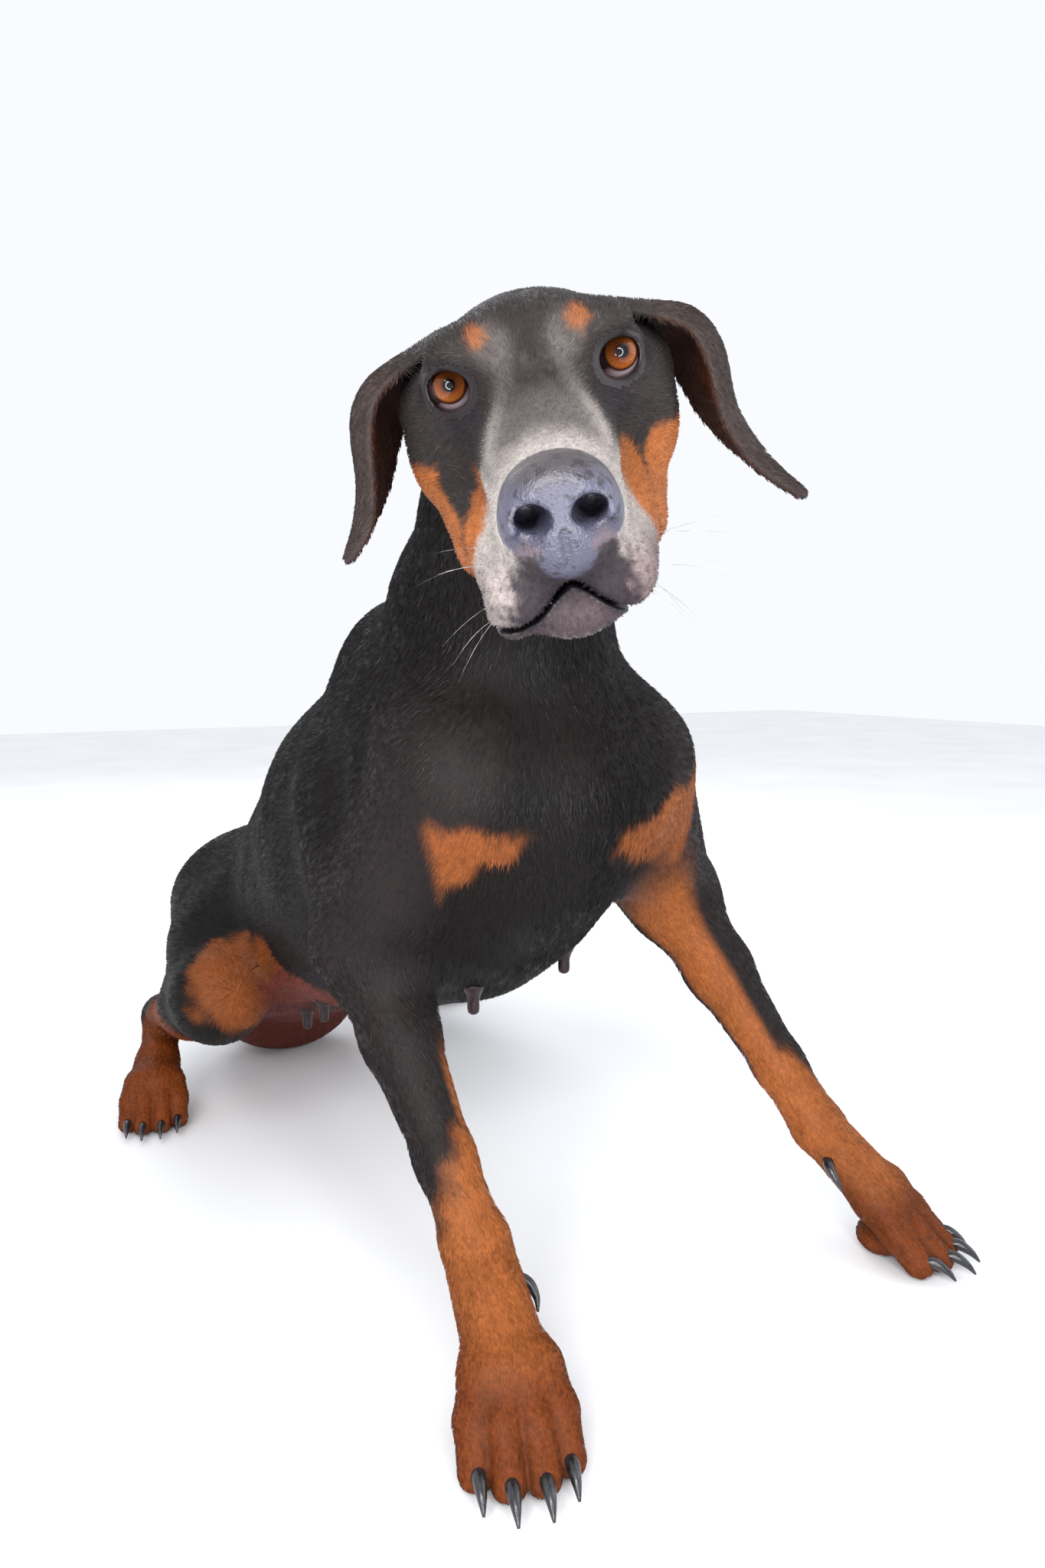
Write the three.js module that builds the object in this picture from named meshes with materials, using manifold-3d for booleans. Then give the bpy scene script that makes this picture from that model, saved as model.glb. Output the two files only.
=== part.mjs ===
// A doberman pinscher bitch, life size, sitting with both forelegs propped out in front.
// Millimetres, +Z up. The animal faces -Y and its left side is +X; the floor is Z = 0.
// The flesh is one field of bones and muscles. Each node is that flesh in its own
// region of space, so neighbours meet on flat faces a hair apart.

import * as THREE from "three";
import Module from "manifold-3d";

const wasm = await Module();
wasm.setup();
const { Manifold, Mesh: SolidMesh } = wasm;

const GAP = 0.3;
const CLAW_GAP = 0.6;
const SIDES = [-1, 1];

// The middle of the footprint, in the frame that the animal is set out in. It becomes the origin.
const FOOT = [37.2, 171.5, 0];

// Vectors

const add = (a, b) => [a[0] + b[0], a[1] + b[1], a[2] + b[2]];
const sub = (a, b) => [a[0] - b[0], a[1] - b[1], a[2] - b[2]];
const mul = (a, k) => [a[0] * k, a[1] * k, a[2] * k];
const dot = (a, b) => a[0] * b[0] + a[1] * b[1] + a[2] * b[2];
const cross = (a, b) => [a[1] * b[2] - a[2] * b[1], a[2] * b[0] - a[0] * b[2], a[0] * b[1] - a[1] * b[0]];
const size = (a) => Math.hypot(a[0], a[1], a[2]);
const unit = (a) => mul(a, 1 / size(a));
const mix = (a, b, t) => add(mul(a, 1 - t), mul(b, t));

// Field building blocks

const clamp01 = (t) => Math.min(1, Math.max(0, t));

function joined(a, b, k) {
  const h = Math.max(k - Math.abs(a - b), 0) / k;
  return Math.min(a, b) - h * h * k * 0.25;
}

const carved = (body, tool, k) => -joined(-body, tool, k);

// A limb that tapers from a to b. Along the axis `across` it is `wide` times as thick.
function bone(p, a, b, ra, rb, wide = 1, across = null) {
  let q = sub(p, a);
  let ab = sub(b, a);
  if (across) {
    q = add(q, mul(across, dot(q, across) * (1 / wide - 1)));
    ab = add(ab, mul(across, dot(ab, across) * (1 / wide - 1)));
  }
  const t = clamp01(dot(q, ab) / Math.max(dot(ab, ab), 1e-9));
  const d = size(sub(q, mul(ab, t))) - (ra + (rb - ra) * t);
  return across ? d * Math.min(1, wide) : d;
}

function ellipsoid(p, centre, radii) {
  const q = sub(p, centre);
  const near = Math.hypot(q[0] / radii[0], q[1] / radii[1], q[2] / radii[2]);
  const steep = Math.hypot(q[0] / radii[0] ** 2, q[1] / radii[1] ** 2, q[2] / radii[2] ** 2);
  return (near * (near - 1)) / Math.max(steep, 1e-9);
}

// Bones end to end through [point, radius, width ratio] stations.
function chain(p, stations, k, across = null) {
  let d = Infinity;
  for (let i = 0; i + 1 < stations.length; i++) {
    const [a, ra, wa] = stations[i];
    const [b, rb, wb] = stations[i + 1];
    const link = bone(p, a, b, ra, rb, (wa + wb) / 2, across);
    d = i === 0 ? link : joined(d, link, k);
  }
  return d;
}

function toTriangle(p, a, b, c) {
  const n = cross(sub(b, a), sub(c, a));
  const corners = [a, b, c];
  let inside = true;
  let edge = Infinity;
  for (let i = 0; i < 3; i++) {
    const from = corners[i];
    const along = sub(corners[(i + 1) % 3], from);
    const q = sub(p, from);
    if (dot(cross(along, n), q) > 0) inside = false;
    edge = Math.min(edge, size(sub(q, mul(along, clamp01(dot(q, along) / dot(along, along))))));
  }
  return inside ? Math.abs(dot(sub(p, a), n)) / size(n) : edge;
}

// Head frame
// Head points are [forward, up, left] from the middle of the line between the pupils.

const PUPIL_RIGHT = [-145, -295, 580];
const PUPIL_LEFT = [-78, -336, 594];
const NOSE_FRONT = [-156, -416, 510];
const NOSE_DROP = (18 * Math.PI) / 180;

const BETWEEN_EYES = mix(PUPIL_RIGHT, PUPIL_LEFT, 0.5);
const LEFT = unit(sub(PUPIL_LEFT, PUPIL_RIGHT));
const toNose = sub(NOSE_FRONT, BETWEEN_EYES);
const dropped = unit(sub(toNose, mul(LEFT, dot(toNose, LEFT))));
const raised = cross(dropped, LEFT);
const FRONT = add(mul(dropped, Math.cos(NOSE_DROP)), mul(raised, Math.sin(NOSE_DROP)));
const UP = sub(mul(raised, Math.cos(NOSE_DROP)), mul(dropped, Math.sin(NOSE_DROP)));

const onHead = (forward, up, left = 0) =>
  add(add(BETWEEN_EYES, mul(FRONT, forward)), add(mul(UP, up), mul(LEFT, left)));

function inHead(p) {
  const q = sub(p, BETWEEN_EYES);
  return [dot(q, FRONT), dot(q, UP), dot(q, LEFT)];
}

// Head

const EYE_SPREAD = 40;
const EYE_BACK = 8.5;
const EYE_RADIUS = 12;
const LID_RADIUS = 15;
const LID_WIDTH = 9.2;
const LID_HEIGHT = 8.6;
const EAR_HALF_THICKNESS = 3.6;
const EAR_TIP = { "-1": [-31, -76, 112], 1: [-31, -86, 127] };

// Rows from the root of the ear to its tip, each from the front margin to the rear one.
const EAR_ROWS = [
  [[-36, 20, 44], [-52, 22, 42], [-70, 14, 42], [-84, -2, 46]],
  [[-34, 9, 62], [-48, 13, 64], [-72, 8, 62], [-86, -10, 58]],
  [[-28, -6, 79], [-40, 0, 82], [-66, -2, 82], [-86, -20, 72]],
  [[-25, -24, 86], [-38, -16, 93], [-60, -18, 92], [-82, -34, 80]],
  [[-25, -44, 90], [-36, -42, 97], [-55, -44, 96], [-70, -48, 88]],
  [[-26, -60, 96], [-36, -60, 104], [-48, -60, 102], [-58, -60, 97]],
];
const EAR_END = [[3, 2, -3], [1, 1, 0], [-3, 2, 0], [-6, 4, -2]];

// How much higher each row of an ear is held, and how far the last row follows the tip.
const EAR_HELD_UP = { "-1": [0, 2, 6, 6, 2, 0], 1: [0, 4, 10, 9, 4, 0] };
const EAR_FOLLOW = 0.45;

function earRows(side) {
  const swing = mul(sub(EAR_TIP[side], EAR_TIP[-1]), EAR_FOLLOW);
  const held = EAR_ROWS.map((row, i) => row.map((point) => add(point, [0, EAR_HELD_UP[side][i], 0])));
  const rows = held.map((row, i) => (i === 5 ? row.map((point) => add(point, swing)) : row));
  rows.push(EAR_END.map((point) => add(EAR_TIP[side], point)));
  return rows.map((row) => row.map(([forward, up, out]) => [forward, up, out * side]));
}

const EARS = { "-1": earRows(-1), 1: earRows(1) };

function ear(q, side) {
  if (Math.max(Math.abs(q[0] + 55), Math.abs(q[1] + 25), Math.abs(q[2] - side * 80)) > 90) return 1e3;
  const rows = EARS[side];
  let d = Infinity;
  for (let i = 0; i + 1 < rows.length; i++) {
    for (let j = 0; j < 3; j++) {
      const [a, b, c, e] = [rows[i][j], rows[i + 1][j], rows[i + 1][j + 1], rows[i][j + 1]];
      d = Math.min(d, toTriangle(q, a, b, c), toTriangle(q, a, c, e));
    }
  }
  return d - EAR_HALF_THICKNESS;
}

const ACROSS = [0, 0, 1];

function skull(q) {
  let d = ellipsoid(q, [-58, -6, 0], [78, 42, 54]);
  d = joined(d, ellipsoid(q, [-12, -2, 0], [44, 33, 42]), 18);
  d = joined(d, bone(q, [0, -22, 0], [106, -49, 0], 34, 26, 1.05, ACROSS), 20);
  for (const side of SIDES) {
    d = joined(d, ellipsoid(q, [-42, -26, side * 44], [42, 38, 24]), 14);
    d = joined(d, bone(q, [-2, -20, side * 42], [-50, -9, side * 57], 9, 11), 18);
    d = joined(d, ellipsoid(q, [-3, 16, side * 34], [18, 9, 15]), 14);
    d = joined(d, ellipsoid(q, [-62, -4, side * 44], [22, 26, 20]), 12);
  }
  return d;
}

// The head leans to the right, so that the right upper lip hangs lowest here.
const LOW_FLEW = [93, -87, -27];

function lips(q, d) {
  d = joined(d, bone(q, [-70, -58, 0], [92, -88, 0], 30, 12, 1.25, ACROSS), 14);
  d = joined(d, ellipsoid(q, [100, -88, 0], [15, 12, 19]), 8);
  for (const side of SIDES) {
    d = joined(d, bone(q, [-30, -36, side * 44], [40, -66, side * 32], 20, 17), 16);
    d = joined(d, bone(q, [46, -66, side * 28], [102, -75, side * 20], 17, 16.5), 10);
  }
  d = joined(d, ellipsoid(q, LOW_FLEW, [14, 11, 10]), 8);
  const mouth = (side) => [
    [124, -72, 0],
    [114, -80, side * 13],
    [98, -91, side * 25],
    [68, -90, side * 42],
    [34, -78, side * 50],
  ];
  for (const side of SIDES) {
    const line = mouth(side);
    for (let i = 0; i + 1 < line.length; i++) d = carved(d, bone(q, line[i], line[i + 1], 2.4, 2.4), 2);
  }
  return d;
}

function nose(q, d) {
  d = joined(d, ellipsoid(q, [117, -42, 0], [17, 21, 23]), 6);
  for (const side of SIDES) {
    d = joined(d, ellipsoid(q, [121, -46, side * 15], [10, 12, 10]), 4);
    d = carved(d, bone(q, [136, -47, side * 9.5], [112, -45, side * 11], 5.2, 3.5), 2);
    d = carved(d, bone(q, [133, -52, side * 12], [118, -57, side * 23], 2.8, 1.8), 2);
  }
  return carved(d, bone(q, [138, -52, 0], [124, -71, 0], 1.8, 1.8), 2);
}

function lids(q, d, side) {
  const v = sub(q, [-EYE_BACK, 0, side * EYE_SPREAD]);
  d = joined(d, size(v) - LID_RADIUS, 5);
  if (v[0] < -2) return d;
  const wide = Math.abs(v[2] + 0.1 * side * v[1]) / LID_WIDTH;
  const tall = Math.abs(v[1] - 0.1 * side * v[2]) / LID_HEIGHT;
  return carved(d, (Math.hypot(wide, tall) - 1) * LID_HEIGHT, 1.5);
}

function head(q) {
  let d = nose(q, lips(q, skull(q)));
  for (const side of SIDES) {
    d = joined(d, ear(q, side), 7);
    d = lids(q, d, side);
  }
  return d;
}

// Trunk and tail

const X = [1, 0, 0];

const TRUNK = [
  [[-12, -165, 380], 60, 1.0],
  [[-12, -100, 366], 118, 0.8],
  [[-13, -15, 335], 140, 0.8],
  [[-20, 80, 296], 135, 0.83],
  [[-26, 170, 250], 114, 0.88],
  [[-30, 260, 206], 102, 0.92],
  [[-28, 345, 164], 94, 0.94],
  [[-24, 410, 108], 76, 1],
];

const NECK = [
  [[-14, -60, 425], 92, 0.85],
  [[-36, -135, 480], 72, 0.92],
  [[-52, -198, 540], 56, 0.98],
  [onHead(-78, -24), 52, 1],
];

const TAIL = [
  [[-24, 420, 100], 34, 1],
  [[-34, 484, 48], 24, 1],
  [[-46, 552, 17], 17, 1],
  [[-48, 632, 12], 12.5, 1],
  [[-34, 702, 9], 9.5, 1],
  [[-8, 764, 6], 7, 1],
];

const SEAT = [[-18, 436, 62], [84, 62, 64]];

// Legs

const FORE = {
  "-1": {
    blade: [-46, 5, 452],
    shoulder: [-82, -162, 386],
    elbow: [-109, -75, 256],
    wrist: [-84, -193, 88],
    knuckle: [-93, -257, 42],
    way: [-0.3, -0.954, 0],
  },
  1: {
    blade: [22, 5, 452],
    shoulder: [52, -160, 384],
    elbow: [146, -85, 267],
    wrist: [214, -187, 96],
    knuckle: [252, -216, 44],
    way: [0.5, -0.866, 0],
  },
};

const HIND = {
  "-1": {
    hip: [-80, 345, 188],
    knee: [-150, 198, 146],
    hock: [-166, 389, 74],
    knuckle: [-192, 302, 34],
    way: [-0.25, -0.97, 0],
  },
  1: {
    hip: [38, 375, 175],
    knee: [205, 390, 118],
    hock: [120, 556, 38],
    knuckle: [205, 516, 30],
    way: [0.87, -0.49, 0],
  },
};

// Each toe: how far it stands out to the side, and how far ahead of the knuckles.
const TOES = [[-26, 36], [-9.5, 47], [9.5, 47], [26, 36]];
const HIND_PAW_SCALE = 0.88;

function pawFrame(joints) {
  const way = unit(joints.way);
  return { knuckle: joints.knuckle, way, across: [way[1], -way[0], 0] };
}

// The three joints of one toe, from the knuckles to its tip.
function toeJoints(joints, toe, scale) {
  const { knuckle, way, across } = pawFrame(joints);
  const [out, ahead] = TOES[toe];
  const ground = [knuckle[0], knuckle[1], 0];
  const at = (forward, aside, height) =>
    add(add(ground, mul(way, forward)), add(mul(across, aside), [0, 0, height]));
  return {
    base: at(2, out * 0.62 * scale, knuckle[2]),
    arch: at(ahead * 0.52 * scale, out * 0.92 * scale, 27 * scale),
    tip: at(ahead * scale, out * scale, 10 * scale),
  };
}

function paw(p, joints, from, scale) {
  const { knuckle, way, across } = pawFrame(joints);
  let d = Infinity;
  for (let toe = 0; toe < 4; toe++) {
    const { base, arch, tip } = toeJoints(joints, toe, scale);
    const upper = bone(p, base, arch, 15 * scale, 12 * scale);
    const lower = bone(p, arch, tip, 12 * scale, 10.8 * scale);
    const digit = joined(upper, lower, 6);
    d = toe === 0 ? digit : joined(d, digit, 3);
  }
  const pad = add([knuckle[0], knuckle[1], 12 * scale], mul(way, 5 * scale));
  d = joined(d, ellipsoid(p, pad, [21 * scale, 21 * scale, 14 * scale]), 6);
  return joined(d, bone(p, from, knuckle, 18, 20.5, 1.25, across), 12);
}

function foreleg(p, side) {
  const { blade, shoulder, elbow, wrist } = FORE[side];
  const back = add(mix(blade, elbow, 0.55), [side * 4, 10, 0]);
  let d = bone(p, blade, shoulder, 34, 38);
  d = joined(d, bone(p, shoulder, elbow, 42, 34), 20);
  d = joined(d, bone(p, back, elbow, 40, 32), 20);
  const forearm = [
    [elbow, 32, 1],
    [mix(elbow, wrist, 0.34), 25.5, 1],
    [mix(elbow, wrist, 0.75), 18.5, 1],
    [wrist, 20, 1],
  ];
  d = joined(d, chain(p, forearm, 12), 18);
  d = joined(d, ellipsoid(p, add(elbow, [0, 26, 8]), [14, 16, 20]), 14);
  return joined(d, paw(p, FORE[side], wrist, 1), 8);
}

function hindleg(p, side) {
  const { hip, knee, hock, knuckle } = HIND[side];
  const way = pawFrame(HIND[side]).way;
  let d = joined(bone(p, hip, mix(hip, knee, 0.5), 84, 62), bone(p, mix(hip, knee, 0.5), knee, 62, 40), 20);
  const shank = [
    [knee, 38, 1],
    [mix(knee, hock, 0.4), 32, 1],
    [mix(knee, hock, 0.85), 20, 1],
    [hock, 21, 1],
  ];
  d = joined(d, chain(p, shank, 14), 20);
  const foot = [[hock, 21, 1], [mix(hock, knuckle, 0.6), 17, 1.15], [knuckle, 19, 1.2]];
  d = joined(d, chain(p, foot, 10), 8);
  const behind = add(sub(knuckle, mul(way, 30)), [0, 0, 8]);
  return joined(d, paw(p, HIND[side], behind, HIND_PAW_SCALE), 8);
}

function flesh(p) {
  let d = chain(p, NECK, 25, X);
  if (p[2] < 560) d = joined(d, chain(p, TRUNK, 25, X), 40);
  if (p[1] > 300) d = joined(d, ellipsoid(p, SEAT[0], SEAT[1]), 30);
  for (const side of SIDES) {
    if (p[1] < 150 && p[2] < 530) d = joined(d, foreleg(p, side), 40);
    if (p[1] > -20 && p[2] < 400) d = joined(d, hindleg(p, side), 40);
  }
  if (p[1] > 330) d = joined(d, chain(p, TAIL, 10), 14);
  return p[2] > 380 && p[1] < -60 ? joined(d, head(inHead(p)), 16) : d;
}

// Field to surface

// The six tetrahedra of a cell, by corner number: x + 2 y + 4 z.
const TETRAHEDRA = [
  [0, 1, 3, 7],
  [0, 3, 2, 7],
  [0, 2, 6, 7],
  [0, 6, 4, 7],
  [0, 4, 5, 7],
  [0, 5, 1, 7],
];

// Cells along each side of a block that is skipped whole where the surface is far off.
const BLOCK = 6;

// A closed surface of field = 0 inside the box from low to high.
function surface(field, low, high, cell) {
  const count = [0, 1, 2].map((i) => Math.ceil((high[i] - low[i]) / cell) + 1);
  const [nx, ny, nz] = count;
  const place = (n) => [
    low[0] + (n % nx) * cell,
    low[1] + (Math.floor(n / nx) % ny) * cell,
    low[2] + Math.floor(n / (nx * ny)) * cell,
  ];
  const reach = BLOCK * cell * 0.5 * Math.sqrt(3) * 1.15;
  const blocks = new Map();
  const farFromSurface = (x, y, z) => {
    const [i, j, k] = [x, y, z].map((v) => Math.floor(v / BLOCK));
    const key = i + 1e3 * (j + 1e3 * k);
    if (!blocks.has(key)) {
      const middle = add(low, mul([i + 0.5, j + 0.5, k + 0.5], BLOCK * cell));
      const d = field(middle);
      blocks.set(key, Math.abs(d) > reach ? d : 0);
    }
    return blocks.get(key);
  };
  const value = new Float64Array(nx * ny * nz);
  for (let n = 0; n < value.length; n++) {
    const x = n % nx;
    const y = Math.floor(n / nx) % ny;
    const z = Math.floor(n / (nx * ny));
    const rim = x === 0 || y === 0 || z === 0 || x === nx - 1 || y === ny - 1 || z === nz - 1;
    const d = farFromSurface(x, y, z) || field(place(n));
    value[n] = rim ? Math.max(d, cell / 2) : d;
    if (Math.abs(value[n]) < cell * 0.02) value[n] = value[n] < 0 ? -cell * 0.02 : cell * 0.02;
  }
  const points = [];
  const faces = [];
  const known = new Map();
  const crossing = (a, b) => {
    const key = a < b ? a * value.length + b : b * value.length + a;
    if (!known.has(key)) {
      known.set(key, points.length);
      points.push(mix(place(a), place(b), value[a] / (value[a] - value[b])));
    }
    return known.get(key);
  };
  const addFace = (a, b, c, away) => {
    const n = cross(sub(points[b], points[a]), sub(points[c], points[a]));
    faces.push(dot(n, away) > 0 ? [a, b, c] : [a, c, b]);
  };
  for (let z = 0; z + 1 < nz; z++) {
    for (let y = 0; y + 1 < ny; y++) {
      for (let x = 0; x + 1 < nx; x++) {
        const first = x + nx * (y + ny * z);
        const corner = (k) => first + (k & 1) + nx * (((k >> 1) & 1) + ny * (k >> 2));
        const within = [0, 1, 2, 3, 4, 5, 6, 7].filter((k) => value[corner(k)] < 0).length;
        if (within === 0 || within === 8) continue;
        for (const tetrahedron of TETRAHEDRA) {
          const inner = tetrahedron.map(corner).filter((n) => value[n] < 0);
          const outer = tetrahedron.map(corner).filter((n) => value[n] >= 0);
          if (inner.length === 0 || outer.length === 0) continue;
          const away = sub(place(outer[0]), place(inner[0]));
          if (inner.length === 2) {
            const [a, b, c, e] = [
              crossing(inner[0], outer[0]),
              crossing(inner[0], outer[1]),
              crossing(inner[1], outer[1]),
              crossing(inner[1], outer[0]),
            ];
            const out = sub(add(place(outer[0]), place(outer[1])), add(place(inner[0]), place(inner[1])));
            addFace(a, b, c, out);
            addFace(a, c, e, out);
          } else {
            const [single, others] = inner.length === 1 ? [inner[0], outer] : [outer[0], inner];
            const [a, b, c] = others.map((n) => crossing(single, n));
            const middle = mul(others.reduce((s, n) => add(s, place(n)), [0, 0, 0]), 1 / 3);
            const apart = sub(middle, place(single));
            addFace(a, b, c, inner.length === 1 ? apart : mul(apart, -1));
          }
        }
      }
    }
  }
  return { points, faces };
}

// Thinning out

// The error of a point against the planes met so far, as ten sums.
function planeSums(a, b, c) {
  const normal = cross(sub(b, a), sub(c, a));
  const area = size(normal);
  if (area < 1e-12) return new Array(10).fill(0);
  const [x, y, z] = mul(normal, 1 / area);
  const w = -dot([x, y, z], a);
  return [x * x, x * y, x * z, x * w, y * y, y * z, y * w, z * z, z * w, w * w].map((v) => v * area);
}

const errorAt = (s, [x, y, z]) =>
  s[0] * x * x + s[4] * y * y + s[7] * z * z + s[9] +
  2 * (s[1] * x * y + s[2] * x * z + s[5] * y * z + s[3] * x + s[6] * y + s[8] * z);

function lowestPoint(s, a, b) {
  const rows = [[s[0], s[1], s[2]], [s[1], s[4], s[5]], [s[2], s[5], s[7]]];
  const right = [-s[3], -s[6], -s[8]];
  const det = dot(rows[0], cross(rows[1], rows[2]));
  const middle = mix(a, b, 0.5);
  const scale = (s[0] + s[4] + s[7]) ** 3;
  if (Math.abs(det) > 1e-4 * scale) {
    const solved = mul(
      add(
        add(mul(cross(rows[1], rows[2]), right[0]), mul(cross(rows[2], rows[0]), right[1])),
        mul(cross(rows[0], rows[1]), right[2]),
      ),
      1 / det,
    );
    if (size(sub(solved, middle)) < 1.5 * size(sub(a, b))) return solved;
  }
  return [a, b, middle].reduce((best, q) => (errorAt(s, q) < errorAt(s, best) ? q : best), middle);
}

// Merges the flattest edges until no more than `target` faces are left.
function thinned({ points, faces }, target) {
  points = points.slice();
  const sums = points.map(() => new Array(10).fill(0));
  for (const face of faces) {
    const plane = planeSums(...face.map((n) => points[n]));
    for (const n of face) for (let i = 0; i < 10; i++) sums[n][i] += plane[i];
  }
  while (faces.length > target) {
    const around = points.map(() => []);
    faces.forEach((face, f) => face.forEach((n) => around[n].push(f)));
    const edges = [];
    for (const face of faces) {
      for (let i = 0; i < 3; i++) {
        const a = face[i];
        const b = face[(i + 1) % 3];
        if (a > b) continue;
        const total = sums[a].map((v, k) => v + sums[b][k]);
        const spot = lowestPoint(total, points[a], points[b]);
        edges.push({ a, b, total, spot, cost: errorAt(total, spot) });
      }
    }
    edges.sort((m, n) => m.cost - n.cost);
    const settled = new Set();
    const gone = new Set();
    const before = faces.length;
    for (const { a, b, total, spot } of edges.slice(0, Math.ceil(edges.length * 0.3))) {
      if (before - gone.size <= target) break;
      if (settled.has(a) || settled.has(b)) continue;
      const ring = (n) => new Set(around[n].flatMap((f) => faces[f]).filter((m) => m !== n));
      const ringA = ring(a);
      const ringB = ring(b);
      const common = [...ringA].filter((n) => ringB.has(n));
      if (common.length !== 2) continue;
      const shared = (f) => faces[f].includes(a) && faces[f].includes(b);
      const kept = [...around[a], ...around[b]].filter((f) => !shared(f));
      const flips = kept.some((f) => {
        const old = faces[f].map((n) => points[n]);
        const now = faces[f].map((n) => (n === a || n === b ? spot : points[n]));
        const was = cross(sub(old[1], old[0]), sub(old[2], old[0]));
        const is = cross(sub(now[1], now[0]), sub(now[2], now[0]));
        return dot(was, is) < 0.3 * size(was) * size(is) || size(is) < 1e-6;
      });
      if (flips) continue;
      for (const f of around[a]) if (faces[f].includes(b)) gone.add(f);
      for (const f of around[b]) faces[f] = faces[f].map((n) => (n === b ? a : n));
      points[a] = spot;
      sums[a] = total;
      for (const n of [a, b, ...ringA, ...ringB]) settled.add(n);
    }
    faces = faces.filter((face, f) => !gone.has(f));
    if (faces.length === before) break;
  }
  return { points, faces };
}

// Solids

function solidFrom({ points, faces }) {
  const number = new Map();
  const kept = [];
  const triangles = faces.map((face) =>
    face.map((n) => {
      if (!number.has(n)) {
        number.set(n, kept.length);
        kept.push(points[n]);
      }
      return number.get(n);
    }),
  );
  return Manifold.ofMesh(
    new SolidMesh({
      numProp: 3,
      vertProperties: new Float32Array(kept.flat()),
      triVerts: new Uint32Array(triangles.flat()),
    }),
  );
}

// A three.js geometry as a solid, with its doubled seam points joined.
function solidOf(geometry) {
  const place = geometry.attributes.position;
  const known = new Map();
  const points = [];
  const match = [];
  for (let i = 0; i < place.count; i++) {
    const point = [place.getX(i), place.getY(i), place.getZ(i)];
    const key = point.map((v) => Math.round(v * 1e4)).join();
    if (!known.has(key)) {
      known.set(key, points.length);
      points.push(point);
    }
    match.push(known.get(key));
  }
  const order = geometry.index ? Array.from(geometry.index.array) : match.map((_, i) => i);
  const faces = [];
  for (let i = 0; i < order.length; i += 3) {
    const face = [match[order[i]], match[order[i + 1]], match[order[i + 2]]];
    if (new Set(face).size === 3) faces.push(face);
  }
  return solidFrom({ points, faces });
}

const largest = (solid) =>
  solid.decompose().reduce((best, piece) => (piece.volume() > best.volume() ? piece : best));

// A box from low to high along the axes of a frame, or of the world.
function block(low, high, frame = { origin: [0, 0, 0], axes: [[1, 0, 0], [0, 1, 0], [0, 0, 1]] }) {
  const [x, y, z] = frame.axes;
  const extent = sub(high, low);
  const geometry = new THREE.BoxGeometry(...extent);
  geometry.translate(...mix(low, high, 0.5));
  const turn = new THREE.Matrix4().makeBasis(
    new THREE.Vector3(...x),
    new THREE.Vector3(...y),
    new THREE.Vector3(...z),
  );
  turn.setPosition(...frame.origin);
  geometry.applyMatrix4(turn);
  return solidOf(geometry);
}

const HEAD_FRAME = { origin: BETWEEN_EYES, axes: [FRONT, LEFT, UP] };

// A frame at `from` whose first axis runs to `to`.
function limbFrame(from, to) {
  const along = unit(sub(to, from));
  const side = unit(cross(along, Math.abs(along[2]) > 0.9 ? [1, 0, 0] : [0, 0, 1]));
  return { origin: from, axes: [along, side, cross(along, side)] };
}

// A tapering, curved horn through [point, radius] stations, closed at both ends.
function horn(stations, sides) {
  const points = [];
  const faces = [];
  stations.forEach(([middle, radius], i) => {
    const before = stations[Math.max(i - 1, 0)][0];
    const after = stations[Math.min(i + 1, stations.length - 1)][0];
    const along = unit(sub(after, before));
    const right = unit(cross(along, [0.3, 0.2, 1]));
    const top = cross(right, along);
    for (let k = 0; k < sides; k++) {
      const turn = (2 * Math.PI * k) / sides;
      points.push(add(middle, add(mul(right, radius * Math.cos(turn)), mul(top, radius * Math.sin(turn)))));
    }
  });
  const last = stations.length - 1;
  const heel = points.push(stations[0][0]) - 1;
  const point = points.push(stations[last][0]) - 1;
  for (let k = 0; k < sides; k++) {
    const next = (k + 1) % sides;
    for (let i = 0; i < last; i++) {
      const [a, b, c, e] = [i * sides + k, i * sides + next, (i + 1) * sides + next, (i + 1) * sides + k];
      faces.push([a, c, b], [a, e, c]);
    }
    faces.push([heel, k, next], [point, last * sides + next, last * sides + k]);
  }
  const solid = solidFrom({ points, faces });
  return solid.volume() > 0 ? solid : solidFrom({ points, faces: faces.map(([a, b, c]) => [a, c, b]) });
}

// Claws

const CLAW_SIDES = 6;

function clawStations(joints, toe, scale, grow) {
  const { way } = pawFrame(joints);
  const { tip } = toeJoints(joints, toe, scale);
  const at = (ahead, rise) => add(tip, add(mul(way, ahead * scale), [0, 0, rise * scale]));
  return [
    [at(5 - grow, 3.5), 4.4 * scale + grow],
    [at(12, 4), 4.0 * scale + grow],
    [at(20, 0.5), 2.7 * scale + grow],
    [at(26 + grow, -5 - grow), 1.0 * scale + grow],
  ];
}

// The claw on the inner side of the wrist, which never reaches the floor.
function dewclawStations(joints, side, grow) {
  const { way, across } = pawFrame(joints);
  const inward = mul(across, Math.sign(across[0]) * -side);
  const root = mix(joints.wrist, joints.knuckle, 0.28);
  const at = (aside, ahead, rise) => add(root, add(add(mul(inward, aside), mul(way, ahead)), [0, 0, rise]));
  return [
    [at(18 - grow, 0, -4), 4.4 + grow],
    [at(27, 4, -7), 3.8 + grow],
    [at(31, 10, -13), 2.4 + grow],
    [at(31, 15 + grow, -20 - grow), 0.9 + grow],
  ];
}

// Regions
// Each region takes the clearance to add on every side and gives a solid.

const HEAD_START = 42;
const NECK_START = 10;
const FAR = 420;

const beyond = (from, to, start) => (grow) => {
  const frame = limbFrame(from, to);
  return block([start - grow, -FAR, -FAR], [FAR, FAR, FAR], frame);
};

const along = (from, to, start, end, rise, drop, reach) => (grow) => {
  const frame = limbFrame(from, to);
  return block([start - grow, -reach - grow, -rise - grow], [end + grow, reach + grow, drop + grow], frame);
};

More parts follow.
